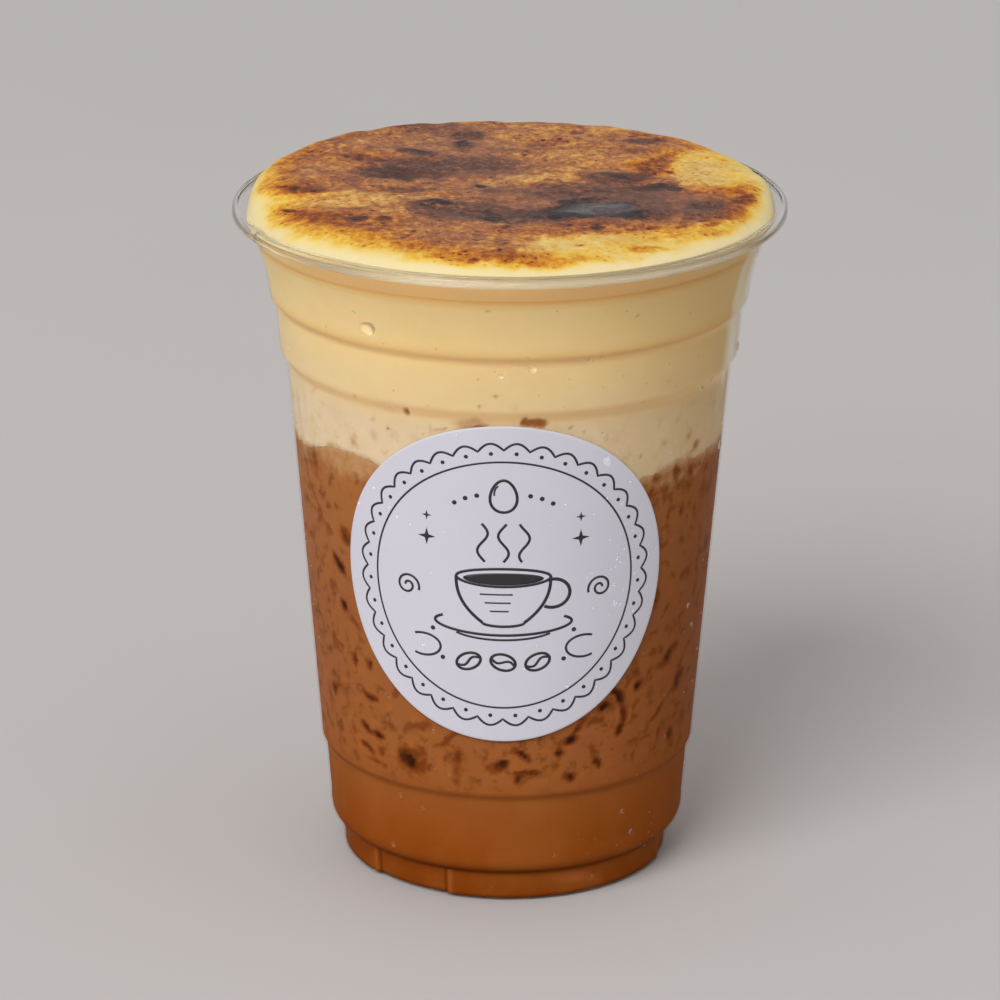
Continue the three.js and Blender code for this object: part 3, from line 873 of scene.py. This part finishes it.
ICE_MARKS = (
    (-54, 61.4, 2.4, 0.9, 0.95, -42, 0.7), (-53, 53.3, 1.4, 0.8, 0.95, -30, 0.7),
    (-48.5, 51, 2.2, 0.7, 0.5, -38), (-50, 67.3, 1.3, 1.5, 0.7, 20, 0.8), (-71, 63.4, 1.6, 0.9, 0.45, 20),
    (-68, 60, 1.2, 0.8, 0.3, -20), (-66, 72.5, 1.8, 1, 0.35, -60), (-60, 74, 1.4, 0.9, 0.3, 70),
    (-62, 69, 1, 1.6, 0.3, 10), (-62.5, 35.6, 1.2, 0.9, 0.75, 15, 0.8), (-60, 46, 0.9, 0.9, 0.4),
    (-50, 43.9, 0.8, 1, 0.85, 10, 0.8), (-43.4, 43.6, 0.7, 0.9, 0.8, 0, 0.8),
    (-44, 37.4, 1.7, 0.7, 0.85, -5, 0.8), (-47.5, 38.6, 0.9, 0.5, 0.5),
    (-42, 30.4, 1.6, 0.9, 0.95, -20, 0.7), (-46.3, 31, 1.4, 0.7, 0.8, -35, 0.8),
    (-47, 27.4, 1.9, 0.6, 0.8, -25, 0.8), (-41, 27.2, 0.9, 0.6, 0.6, 0, 0.9), (-43.6, 25, 1.8, 0.5, 0.55),
    (-39.5, 24.8, 0.7, 0.5, 0.6, 0, 0.9), (-30.4, 27, 2.3, 1.6, 0.95, -35, 0.7),
    (-27.6, 26.3, 2.6, 2.2, 0.4, -10), (-17.8, 32.6, 3, 0.5, 0.6, 45, 0.9), (-26, 34.6, 1.6, 0.8, 0.55, 15),
    (-14.8, 29, 0.9, 2, 0.6, -10), (-12.5, 28.5, 1.4, 1.8, 0.25), (-14.8, 24.6, 0.8, 1.1, 0.45),
    (-2.2, 28.3, 1.2, 0.9, 0.95, 15, 0.7), (-4.2, 27.8, 1.6, 0.9, 0.45, 15), (-1.5, 33.2, 1.8, 0.7, 0.35),
    (4.6, 30.4, 1.7, 0.7, 0.9, -40, 0.7), (3.2, 25, 0.9, 0.9, 0.85, 0, 0.8),
    (6.5, 25.6, 2.4, 0.6, 0.6, 3, 0.8), (14.3, 27.6, 0.8, 0.8, 0.45), (15.2, 29.9, 1.1, 0.9, 0.9, 10, 0.7),
    (19.2, 32.6, 1.5, 1, 0.95, 35, 0.7), (21.8, 35, 2.3, 0.6, 0.55, 50), (19, 25, 1.1, 0.8, 0.85, -20, 0.8),
    (27.8, 27.6, 0.9, 1.2, 0.9, 10, 0.8), (23.8, 38.6, 0.9, 0.6, 0.7, 45, 0.8),
    (29.4, 37.7, 1.4, 0.8, 0.9, 10, 0.8), (26.8, 35.6, 1.6, 0.6, 0.6, 0, 0.9),
    (32.4, 40.4, 1.5, 0.6, 0.85, -25, 0.8), (35.2, 38.4, 1.4, 1, 0.95, -50, 0.7),
    (36.8, 35.8, 0.6, 1.8, 0.6, 0, 0.9), (35.6, 33, 1.1, 0.8, 0.85, 40, 0.8),
    (41, 40.6, 0.8, 1.3, 0.9, -20, 0.7), (40, 43, 0.9, 1, 0.5), (53.5, 43.8, 2.2, 1.1, 0.8, 45, 0.9),
    (49.8, 42.6, 1.6, 0.9, 0.45), (60.5, 38, 1.2, 1.9, 0.8, -20, 0.9), (57.5, 36.4, 1.6, 0.6, 0.5, 40),
    (51, 33.6, 2.4, 0.6, 0.65, 30, 0.9), (59, 27.8, 0.8, 1.4, 0.75, 10, 0.9),
    (45.5, 29.4, 2.6, 0.4, 0.4, 12), (54, 71.8, 0.8, 1.3, 0.55), (61, 70.5, 0.8, 1.5, 0.4),
    (42, 79.3, 1.2, 0.8, 0.5), (45.4, 77.6, 1.3, 0.9, 0.55, 30), (50, 79.8, 0.9, 1.3, 0.6),
    (56.5, 78.8, 1, 1, 0.6), (45.6, 56.6, 0.8, 1.8, 0.5), (66, 74, 1, 1.6, 0.35, 10),
    (-14.8, 26.8, 0.9, 2.6, 0.4), (-28.4, 28.4, 1.6, 1.2, 0.6, 40), (-32, 28.6, 1.4, 0.7, 0.8, 30, 0.8),
    (5.4, 26.5, 2.2, 0.5, 0.8, 4, 0.8), (33.8, 39.4, 2.6, 0.6, 0.9, -45, 0.8),
    (36.3, 35.6, 0.6, 2.6, 0.8, 5, 0.8), (20.5, 34, 2.4, 0.5, 0.7, 48, 0.9),
    (-52.5, 29.4, 1.2, 0.5, 0.4, 20), (-57, 31.2, 1, 0.4, 0.35, 30), (-54, 40, 1, 0.6, 0.35),
    (-55.5, 44.6, 0.9, 0.7, 0.4), (-69, 45, 2, 0.9, 0.3, 10), (-64.5, 79.5, 2.6, 2.6, 0.4, 40),
    (-72, 81, 2, 1.2, 0.45), (62, 39.2, 1.4, 1.2, 0.7, 0, 0.9), (57, 45, 1.4, 0.9, 0.6, 30, 0.9),
    (50, 72.6, 1.2, 0.5, 0.3), (56, 76, 1.6, 1.2, 0.35, 30), (40.5, 77, 0.9, 0.9, 0.5),
    (66, 30, 1.6, 3, 0.3, 20),
)
# How far ice dents the coffee, and the ice of the hidden half of the cup.
ICE_DEPTH = 0.15
HIDDEN_ICE = {"count": 95, "seed": 31, "from": 72, "to": 282, "low": 24, "high": 76}

# Painted shade in dark lines where the wall folds: height, how far they fade below and above, and amount.
FOAM_FOLD_SHADE = ((105.4, 0.4, 1.3, 0.4), (116.5, 0.3, 0.3, 1), (115.6, 0.5, 0.9, 0.3))
COFFEE_FOLD_SHADE = ((21.9, 1.1, 0.3, 0.25), (5.9, 0.6, 1, 0.75), (0.9, 0.3, 0.3, 0.5))
# Warmer light in the folds, where it comes through the foam.
FOAM_WARMTH = ((104.6, 0.8, 0.8, 0.7), (94.5, 1.4, 1.4, 0.75))
# Light patches low on the foot.
FOOT_GLINTS = (
    (24, 3.6, 3.2, 0.9, 0.45, -6), (31, 3, 1.8, 0.7, 0.3, -20), (-44, 15, 1.5, 4, 0.1),
)
# Where a thin film runs down between the foam and the wall, painted light that comes through the gap pales
# the foam.
GAP_LIGHT = {"from": 65, "to": 101, "low": 89, "high": 124}
# Painted shade on the foam seen through the lip and on the foam just under the lip, and the milkier foam
# near the coffee.
LIP_BAND_SHADE = {"low": 119.5, "below_edge": 0.45}
SHADE_BELOW_LIP = {"low": 116.6, "high": 119.7, "from": -74, "strong_to": 55}
MILK = {"below": 97, "reach": 10}


def folds_at(height, folds):
    """How strongly the painted shade and light at the wall's folds show at a height."""
    total = 0
    for at, below, over, amount in folds:
        away = height - at
        total = total + amount * bell(away, 0, np.where(away < 0, below, over))
    return total


# How wide a mark of softness 1 fades, as a share of its size.
TOP_FADE = 0.9
WALL_FADE = 1.8


def mark(u, v, fade, half_width, half_height, amount, turn=0, softness=1):
    """A mark's strength at a distance u and v from its middle."""
    return amount * spot(u, v, half_width, half_height, turn, fade * softness)


def top_marks(x, y, marks):
    """The sum of the marks on the foam's top at each point."""
    return sum(mark(x - mark_x, y - mark_y, TOP_FADE, *rest) for mark_x, mark_y, *rest in marks)


def wall_marks(points, marks):
    """The strongest of the marks on the wall at each point."""
    azimuth = azimuth_of(points)
    radius = np.hypot(points[..., 0], points[..., 1])
    total = np.zeros_like(azimuth)
    for centre, height, *rest in marks:
        u = np.radians(turn_between(azimuth, centre)) * radius
        total = np.maximum(total, mark(u, points[..., 2] - height, WALL_FADE, *rest))
    return total


def warped(points, amount, size, seed):
    """Points pushed about by noise, so that what is drawn at them gets uneven edges."""
    shift = [fractal(points, size, seed + 10 * axis) for axis in range(3)]
    return points + amount * np.stack(shift, axis=-1)


def torched_masks(top, fall):
    """What the torch has done to the foam's top, and how far its skin stands out."""
    pushed = warped(warped(top, 0.9, 7, 41), 0.4, 2.2, 77)
    reach = np.interp(azimuth_of(pushed), *zip(*TORCHED_REACH))
    deep = reach - np.hypot(pushed[..., 0], pushed[..., 1])
    x, y = pushed[..., 0], pushed[..., 1] - MARK_SLIP * (fall + MARK_CROWN - CROWN["mean"])
    inside = 0.6 * smooth((deep + 0.5) / 4) + 0.4 * smooth((deep - 1.5) / 5)
    scorch = TORCHED_LEVEL - top_marks(x, y, LIGHT_MARKS) + top_marks(x, y, DARK_MARKS)
    scorch = np.clip(scorch, 0.1, 1) * inside
    # A faint painted greyish sheen over the inner top.
    grey_sheen = smooth((deep - 5) / 5) * 0.3 * fractal(top * (1, 1, 0), 12, 23)
    masks = {
        "scorch": scorch,
        "fringe": smooth((10 - deep) / 6) + top_marks(x, y, FRINGE_MARKS),
        "char": top_marks(x, y, CHAR_MARKS) * inside,
        "grey_sheen": grey_sheen + top_marks(x, y, GREY_SHEEN_MARKS),
        "gloss_and_sheen": top_marks(x, y, [GLOSS_AND_SHEEN_MARK]),
    }
    skin = fractal(top, 3.2, 5) * SKIN_GRAIN
    cracks = np.abs(fractal(top, 2.6, 15)) * -SKIN_CRACKS
    return masks, skin * (0.25 + 0.75 * smooth(scorch * 3)) + cracks * smooth(scorch * 2.2)


def pressed_masks(side, seam_height, edge_height):
    """What shows of the foam where it is pressed against the wall and the lip."""
    height, azimuth = side[..., 2], azimuth_of(side)
    lip_band_shade = smooth((height - LIP_BAND_SHADE["low"]) / 0.3)
    lip_band_shade = lip_band_shade * smooth((edge_height - LIP_BAND_SHADE["below_edge"] - height) / 0.25)
    shade_below_lip = smooth((height - SHADE_BELOW_LIP["low"]) / 0.3) * smooth((SHADE_BELOW_LIP["high"] - height) / 0.4)
    shade_below_lip = shade_below_lip * (0.2 + 0.65 * smooth((SHADE_BELOW_LIP["strong_to"] - azimuth) / 35))
    streaks = noise(side * [1, 1, 0.16], 2.6, 5)
    past = azimuth_of(warped(side, 1.6, 12, 34)) - GAP_LIGHT["from"]
    ends = height + 7 * streaks
    gap_light = smooth(past / 4) * smooth((GAP_LIGHT["to"] - GAP_LIGHT["from"] - past) / 22)
    gap_light = gap_light * smooth((ends - GAP_LIGHT["low"]) / 10) * smooth((GAP_LIGHT["high"] - ends) / 9)
    rough_seam = 1.8 + 1.2 * noise(side, 4, 8)
    return {
        "pressed": smooth((FOAM_EDGE_HEIGHT - 0.1 - height) / 0.2),
        "fold": folds_at(height, FOAM_FOLD_SHADE),
        "warm": folds_at(height, FOAM_WARMTH),
        "lip_band_shade": lip_band_shade,
        "shade_below_lip": shade_below_lip * smooth((azimuth - SHADE_BELOW_LIP["from"]) / 34),
        "gap_light": 0.8 * (gap_light * (0.85 + 0.6 * streaks)),
        "milk": smooth((MILK["below"] - height) / MILK["reach"]),
        "stain": wall_marks(warped(side, 0.4, 2, 90), FOAM_STAINS),
        "mixed": 0.75 * smooth((rough_seam - (height - seam_height)) / 2.4),
    }


def make_foam():
    seam = boundary()
    under = seam_rings(seam)
    rise = np.concatenate([[0, 0.004], np.linspace(0.012, 1, FOAM_RINGS["wall"])])[:, None]
    low_height = seam[..., 2] + (NECK_TOP - seam[..., 2]) * rise
    edge_radius, edge_height = foam_edge(seam[..., 0], seam[..., 1])
    lip_rise = np.linspace(0, 1, FOAM_RINGS["lip"])[1:, None]
    high_height = NECK_TOP + (edge_height - NECK_TOP) * lip_rise
    side_height = np.concatenate([low_height, high_height])
    side = around(wall_face(side_height) + REACH, side_height)

    top_share = 1 - (1 - np.linspace(1, 0.008, FOAM_RINGS["top"])[1:, None]) ** 1.5
    top = around(edge_radius * top_share, np.zeros(len(top_share)))
    top[..., 2], fall = foam_top(top[..., 0], top[..., 1])
    torched, relief = torched_masks(top, fall)
    from_edge = 1 - top_share
    top[..., 2] += relief * (0.4 * smooth(from_edge / 0.05) + 0.6 * smooth((from_edge - 0.05) / 0.15))

    rings = np.concatenate([under, side, top])
    lift_rim(rings)
    foam = turned("egg_foam", rings, egg_foam())
    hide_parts("foam")
    paint(foam, rings, len(under) + len(side), **torched)
    paint(foam, rings, len(under), **pressed_masks(side, seam[..., 2], edge_height))


# Coffee

def hidden_marks():
    """Seeded ice marks for the back of the cup, of the same sizes as those in front."""
    rng = np.random.default_rng(HIDDEN_ICE["seed"])
    marks = []
    for _ in range(HIDDEN_ICE["count"]):
        azimuth = rng.uniform(HIDDEN_ICE["from"], HIDDEN_ICE["to"])
        height = HIDDEN_ICE["low"] + (HIDDEN_ICE["high"] - HIDDEN_ICE["low"]) * rng.beta(1.1, 1.7)
        size = rng.uniform(0.7, 2.4), rng.uniform(0.5, 1.1)
        turn = rng.uniform(-90, 90)
        marks.append((azimuth, height, *size, rng.uniform(0.35, 0.95), turn, 0.8))
    return marks


def make_coffee():
    seam = boundary()
    floor = WALL - REACH
    outline = [(PANEL_RADIUS * share, PANEL_HEIGHT + floor) for share in (0.02, 0.4, 0.8, 1)]
    outline += [(CHANNEL_RADIUS, floor + 0.5), (CHANNEL_RADIUS + 0.3, floor)]
    outline += [(FOOT_RADIUS - WALL - 0.3, floor), (FOOT_RADIUS - WALL + 0.1, floor + 0.3)]
    under = around(*np.array(outline).T)

    low = np.linspace(COFFEE_RINGS["start"], COFFEE_RINGS["height"], COFFEE_RINGS["below"])
    low = np.repeat(low[:, None], SEGMENTS, axis=1)
    rise = np.concatenate([np.linspace(0, 0.99, COFFEE_RINGS["above"])[1:], [0.997, 1]])[:, None]
    side_height = np.concatenate([low, low[-1] + (seam[..., 2] - low[-1]) * rise])
    side = around(outside_radius(side_height) - WALL + REACH, side_height)

    ragged = warped(warped(side, 0.5, 2.6, 55), 0.2, 1.1, 75)
    ice = np.maximum(wall_marks(ragged, ICE_MARKS), wall_marks(ragged, hidden_marks()))
    move_in(side, ICE_DEPTH * ice)

    rings = np.concatenate([under, side, seam_rings(seam)[::-1]])
    press_notches(rings)
    drink = turned("coffee_body", rings, coffee())
    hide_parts("coffee")

    below = seam[..., 2] - side[..., 2]
    band = 0.7 * np.exp(-below / 1.5) + 0.3 * np.exp(-below / 5) * smooth(0.5 + noise(side, 5, 21))
    folds, glint = folds_at(side_height, COFFEE_FOLD_SHADE), wall_marks(side, FOOT_GLINTS)
    on_foot = smooth((FOOT_HEIGHT + 0.2 - side_height) / 0.4)
    # At each notch's edges: a painted glint just outside it and a line of painted shade just inside.
    for centre in NOTCH_CENTRES:
        for sign in (-1, 1):
            past = sign * turn_between(azimuth_of(side), centre) - NOTCH_WIDTH / 2
            glint = glint + 0.42 * on_foot * bell(past, 1.2, 0.8)
            folds = folds + 0.7 * on_foot * bell(past, -0.4, 0.5)
    mixed = np.maximum(band, wall_marks(ragged, CREAM_STREAKS))
    paint(drink, rings, len(under), ice=ice, mixed=mixed, fold=folds, glint=glint)


# Sticker and its print

def on_cone(u, v, out):
    """Where a point of the flat sticker lies on the cup's wall, at a distance out from the wall."""
    half = np.arctan(TAPER_SLOPE)
    middle = wall_radius(STICKER_HEIGHT)
    slant = middle / np.sin(half)
    to_apex = np.hypot(u, slant + v)
    azimuth = np.arctan2(u, slant + v) / np.sin(half) + STICKER_OFFSET / middle
    radius = to_apex * np.sin(half) + out
    height = STICKER_HEIGHT + (to_apex - slant) * np.cos(half)
    return np.stack([radius * np.sin(azimuth), -radius * np.cos(azimuth), height], axis=-1)


def make_sticker():
    shares = np.linspace(0.03, 0.985, 30)
    edge = [(0.997, STICKER_BACK), (1, STICKER_BACK + 0.08)]
    edge += [(1, STICKER_FRONT - 0.08), (0.997, STICKER_FRONT)]
    outline = [(s, STICKER_BACK) for s in shares] + edge + [(s, STICKER_FRONT) for s in shares[::-1]]
    share, out = np.array(outline).T
    flat = around(STICKER_RADIUS * share, out, STICKER_SEGMENTS)
    rings = on_cone(flat[..., 0], flat[..., 1], flat[..., 2])
    sheet = turned("sticker_sheet", rings, sticker_paper())
    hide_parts("sticker")


# The ink reaches from a little inside the paper to a little above it.
PRINT_LOW = STICKER_FRONT - 0.06
PRINT_HIGH = STICKER_FRONT + 0.03


def stroke(points, width, closed=False):
    """A printed line of a width in mm along points of the flat sticker, as a thin closed strip."""
    points = np.asarray(points, float)
    ahead, behind = np.roll(points, -1, axis=0), np.roll(points, 1, axis=0)
    if not closed:
        ahead[-1], behind[0] = points[-1], points[0]
    along = ahead - behind
    along /= np.linalg.norm(along, axis=1, keepdims=True)
    across = np.stack([-along[:, 1], along[:, 0]], axis=1) * width / 2
    left, right = points + across, points - across
    corners = [(right, PRINT_HIGH), (right, PRINT_LOW), (left, PRINT_LOW), (left, PRINT_HIGH)]
    rings = np.stack([on_cone(side[:, 0], side[:, 1], out) for side, out in corners], axis=1)
    count = len(points)
    faces = []
    for i in range(count if closed else count - 1):
        here, there = 4 * i, 4 * ((i + 1) % count)
        faces += [(here + k, here + (k + 1) % 4, there + (k + 1) % 4, there + k) for k in range(4)]
    if not closed:
        faces += [(3, 2, 1, 0), tuple(4 * (count - 1) + k for k in range(4))]
    return rings.reshape(-1, 3), faces


def filled(points):
    """A printed area inside a closed outline of the flat sticker, as a thin closed plate."""
    points = np.asarray(points, float)
    middle = points.mean(axis=0)
    shares = np.linspace(0.02, 1, 5)
    levels = [(share, PRINT_LOW) for share in shares] + [(share, PRINT_HIGH) for share in shares[::-1]]
    flat = [middle + (points - middle) * share for share, _ in levels]
    rings = np.stack([on_cone(p[:, 0], p[:, 1], out) for p, (_, out) in zip(flat, levels)])
    return with_poles(rings), turned_faces(*rings.shape[:2])


# The print's lengths are in mm, from the sticker's middle: u to the right and v upwards.

def placed(u, v, x, y, turn=0):
    """Points x and y of a figure, turned, with the figure's middle at u and v on the flat sticker."""
    c, s = np.cos(np.radians(turn)), np.sin(np.radians(turn))
    return np.stack([u + x * c - y * s, v + x * s + y * c], axis=1)


def ellipse(u, v, half_width, half_height, start=0, end=360, turn=0, steps=40):
    angle = np.radians(np.linspace(start, end, steps, endpoint=(end - start) % 360 != 0))
    return placed(u, v, half_width * np.cos(angle), half_height * np.sin(angle), turn)


def mirrored(points):
    """The same points on the other side of the sticker's middle."""
    return np.asarray(points) * (-1, 1)


def print_border():
    """A scalloped line with a bead in each scallop and a thin ring inside it."""
    scallops = 36
    angle = np.linspace(0, 2 * np.pi, scallops * 14, endpoint=False)
    radius = 25.6 + 1.3 * np.abs(np.sin(scallops / 2 * angle))
    line = placed(0, 0, radius * np.cos(angle), radius * np.sin(angle))
    parts = [stroke(line, 0.4, closed=True)]
    parts += [stroke(ellipse(0, 0, 23.4, 23.4, steps=160), 0.34, closed=True)]
    for k in range(scallops):
        at = 2 * np.pi * (k + 0.5) / scallops
        parts.append(filled(ellipse(25 * np.cos(at), 25 * np.sin(at), 0.36, 0.36, steps=14)))
    return parts


def print_cup():
    """A steaming cup on its saucer, drawn in lines."""
    side = np.linspace(0, 1, 20)
    wall = placed(-8.2, 1.6, 4.6 * side**2.4, -8.6 * side)
    parts = [stroke(wall, 0.55), stroke(mirrored(wall), 0.55)]
    parts += [stroke(ellipse(0, 1.6, 8.2, 1.7), 0.5, closed=True)]
    parts += [filled(ellipse(0, 1.35, 7, 1.15))]
    parts += [stroke(ellipse(0, -7, 3.6, 0.7, 180, 360), 0.5)]
    parts += [stroke(ellipse(8.6, -1.6, 3, 2.7, -120, 110), 0.6)]
    parts += [stroke(ellipse(0, -7.2, 12, 2.2, 152, 388), 0.5)]
    parts += [stroke(ellipse(0, -8.4, 9, 1.9, 205, 335), 0.4)]
    for start in (-3.6, 0, 3.6):
        rise = np.linspace(0, 1, 26)
        sway = 0.9 * np.sin(rise * 2.2 * np.pi + start)
        parts.append(stroke(placed(start, 4.6, sway, 7.2 * rise), 0.45))
    for height in (-1.6, -3.2, -4.8):
        reach = 2.3 + 0.55 * (height + 4.8)
        dash = np.linspace(-reach, reach * 0.4, 8)
        parts.append(stroke(placed(0, height, dash, 0 * dash), 0.28))
    return parts


def print_trim():
    """An egg above the cup, beans below it, and small stars and scrolls at its sides."""
    egg = ellipse(0, 17, 2.3, 3)
    egg[:, 0] *= 1 - 0.055 * (egg[:, 1] - 17)
    parts = [stroke(egg, 0.5, closed=True), stroke(ellipse(-0.4, 17.4, 1.2, 1.7, 115, 190), 0.3)]
    for u, turn in ((-6, 24), (0, -18), (6, 24)):
        parts.append(stroke(ellipse(u, -14.6, 2.2, 1.5, turn=turn), 0.5, closed=True))
        t = np.linspace(-1, 1, 14)
        parts.append(stroke(placed(u, -14.6, 2 * t, 0.45 * np.sin(np.pi * t), turn), 0.45))
    for u in (-13.5, 13.5):
        for v, size in ((8.4, 1.6), (12.4, 0.9)):
            spokes = np.radians(np.arange(8) * 45)
            reach = np.where(np.arange(8) % 2, 0.3, 1) * size
            parts.append(filled(placed(u, v, reach * np.cos(spokes), reach * np.sin(spokes))))
    angle = np.linspace(0, 3.1 * np.pi, 44)
    radius = 0.35 + 0.2 * angle
    curl = placed(17.2, -1.6, radius * np.cos(angle), radius * np.sin(angle))
    tail = ellipse(14.2, -12.4, 3.2, 2.1, 60, 300)
    for line in (curl, tail):
        parts += [stroke(line, 0.42), stroke(mirrored(line), 0.42)]
    for u, v in ((4.6, 17), (6.6, 16.4), (8.5, 15.4), (10.6, -14.4), (12.4, -9)):
        for sign in (-1, 1):
            parts.append(filled(ellipse(sign * u, v, 0.42, 0.42, steps=14)))
    return parts


def make_print():
    vertices, faces = joined(print_border() + print_cup() + print_trim())
    mesh_piece("sticker_print", vertices, faces, ink())


# Drops of condensed water on the outside

# Azimuth, height and radius of the drops that stand out.
LARGE_DROPS = (
    (-34, 109, 1.5), (-37.5, 111.5, 0.4), (-2, 102.4, 0.45), (5.4, 103.6, 0.7), (25.4, 85.3, 0.9),
    (19, 104.8, 0.4), (22, 105.2, 0.45), (57, 94, 0.5), (60, 95.4, 0.4), (76, 79.6, 0.8),
    (79, 97.4, 0.8), (43.5, 11, 0.55), (39, 15.8, 0.5), (14.8, 9.8, 0.4), (-27, 18, 0.4),
    (-35, 19.4, 0.35), (-39, 9, 0.4), (-24.5, 5, 0.35), (56, 5.6, 0.5), (31, 3.4, 0.35),
    (-5, 3, 0.3), (-22, 34, 0.35), (62, 52, 0.5), (66, 47.5, 0.45), (30, 58, 0.5), (36, 63, 0.4),
)
# Drops at seeded places: all over the wall, and at the sticker's right.
SMALL_DROPS = {"count": 200, "seed": 3, "least": 0.1, "most": 0.32, "low": 3, "high": 112}
STICKER_DROPS = {"count": 46, "seed": 9, "least": 0.12, "most": 0.3, "azimuth": 33, "height": 63}
# A drop's height as a share of its radius, how deep its base sits in the wall, and its rings.
DROP_HEIGHT = 0.35
DROP_SUNK = 0.05
DROP_RINGS = 4
DROP_SIDES = 14


def drop(azimuth, height, radius, rng):
    """A flattened bead of water that sits on the wall, or on the sticker where that is."""
    below, here, above = (float(outside_radius(height + step)) for step in (-0.5, 0, 0.5))
    slope = above - below
    a = np.radians(azimuth)
    out, right = np.array([np.sin(a), -np.cos(a), 0]), np.array([np.cos(a), np.sin(a), 0])
    up = (slope * out + (0, 0, 1)) / np.hypot(1, slope)
    normal = np.cross(right, up)
    across = a * float(wall_radius(STICKER_HEIGHT)) - STICKER_OFFSET
    on_sticker = np.hypot(across, height - STICKER_HEIGHT) < STICKER_RADIUS - radius
    centre = out * (here + (STICKER_FRONT if on_sticker else 0)) + (0, 0, height)
    stretch = rng.uniform(0.85, 1.2)
    turn = np.linspace(0, 2 * np.pi, DROP_SIDES, endpoint=False)
    uneven = 1 + 0.1 * np.sin(2 * turn + rng.uniform(0, 6)) + 0.06 * np.sin(3 * turn + rng.uniform(0, 6))
    rise = np.radians(90 / DROP_RINGS * np.arange(DROP_RINGS))[:, None]
    reach = radius * np.cos(rise) * uneven
    proud = DROP_HEIGHT * radius * np.sin(rise)
    proud[0] -= DROP_SUNK
    rings = centre + (reach * np.cos(turn))[..., None] * right
    rings = rings + (reach * np.sin(turn) * stretch)[..., None] * up + proud[..., None] * normal
    poles = [centre - DROP_SUNK * normal, centre + DROP_HEIGHT * radius * normal]
    return np.concatenate([rings.reshape(-1, 3), poles]), turned_faces(DROP_RINGS, DROP_SIDES)


def make_drops():
    rng = np.random.default_rng(SMALL_DROPS["seed"])
    parts = [drop(azimuth, height, radius, rng) for azimuth, height, radius in LARGE_DROPS]
    for _ in range(SMALL_DROPS["count"]):
        radius = SMALL_DROPS["least"] + (SMALL_DROPS["most"] - SMALL_DROPS["least"]) * rng.beta(1, 2.6)
        azimuth, height = rng.uniform(-180, 180), rng.uniform(SMALL_DROPS["low"], SMALL_DROPS["high"])
        parts.append(drop(azimuth, height, radius, rng))
    rng = np.random.default_rng(STICKER_DROPS["seed"])
    for _ in range(STICKER_DROPS["count"]):
        azimuth, height = rng.normal(STICKER_DROPS["azimuth"], 6), rng.normal(STICKER_DROPS["height"], 7)
        radius = rng.uniform(STICKER_DROPS["least"], STICKER_DROPS["most"])
        parts.append(drop(azimuth, height, radius, rng))
    vertices, faces = joined(parts)
    mesh_piece("water_drops", vertices, faces, water())


# Floor, light and camera

WORLD = tone(190, 187, 186)
# The floor's side in metres, and the lights' azimuth and elevation in degrees, distance and size
# in metres, and power.
FLOOR_SIZE = 4.0
KEY = {"azimuth": -31, "elevation": 42, "distance": 5, "size": 3, "watts": 180}
SOFT_SIDE = {"azimuth": 60, "elevation": 30, "distance": 1.6, "size": 0.9, "watts": 0.8}
LIGHT_TARGET = Vector((0, 0, 0.07))

# The camera that was fitted to the cup's rim, ridges and foot: lens in mm, place in metres, and
# how far it looks down and leans in degrees.
CAMERA_LENS = 169.24
CAMERA_PLACE = (-0.00145, -0.8, 0.3463)
CAMERA_DOWN = 19.33
CAMERA_ROLL = 0.293


def make_floor():
    half = FLOOR_SIZE / 2
    mesh = bpy.data.meshes.new("floor")
    corners = [(-half, -half, 0), (half, -half, 0), (half, half, 0), (-half, half, 0)]
    mesh.from_pydata(corners, [], [(0, 1, 2, 3)])
    look = Look("floor")
    cloud = look.grain(160, detail=2.0)
    colour = look.blend(cloud, tone(192, 189, 188), tone(196, 193, 192))
    mesh.materials.append(look.finish({"Base Color": colour, "Roughness": look.span(cloud, 0.7, 0.8)}))
    floor = bpy.data.objects.new("floor", mesh)
    bpy.context.scene.collection.objects.link(floor)


def make_light(name, azimuth, elevation, distance, size, watts):
    """A square soft box that faces the drink."""
    a, e = np.radians(azimuth), np.radians(elevation)
    out = Vector((np.sin(a) * np.cos(e), -np.cos(a) * np.cos(e), np.sin(e)))
    data = bpy.data.lights.new(name, "AREA")
    data.shape = "SQUARE"
    data.size = size
    data.energy = watts
    light = bpy.data.objects.new(name, data)
    light.location = LIGHT_TARGET + out * distance
    light.rotation_mode = "QUATERNION"
    light.rotation_quaternion = (-out).to_track_quat("-Z", "Y")
    bpy.context.scene.collection.objects.link(light)


def make_stage():
    scene = bpy.context.scene
    make_floor()
    make_light("key", **KEY)
    make_light("soft_side", **SOFT_SIDE)
    world = bpy.data.worlds.new("studio")
    world.use_nodes = True
    world.node_tree.nodes["Background"].inputs["Color"].default_value = WORLD
    scene.world = world
    scene.view_settings.view_transform = "Standard"

    data = bpy.data.cameras.new("camera")
    data.lens = CAMERA_LENS
    camera = bpy.data.objects.new("camera", data)
    camera.location = CAMERA_PLACE
    tilt = Euler((np.radians(90 - CAMERA_DOWN), 0, 0)).to_matrix()
    roll = Euler((0, 0, np.radians(CAMERA_ROLL))).to_matrix()
    camera.rotation_euler = (tilt @ roll).to_euler()
    scene.collection.objects.link(camera)
    scene.camera = camera


make_stage()
make_coffee()
make_foam()
make_cup()
make_sticker()
make_print()
make_drops()
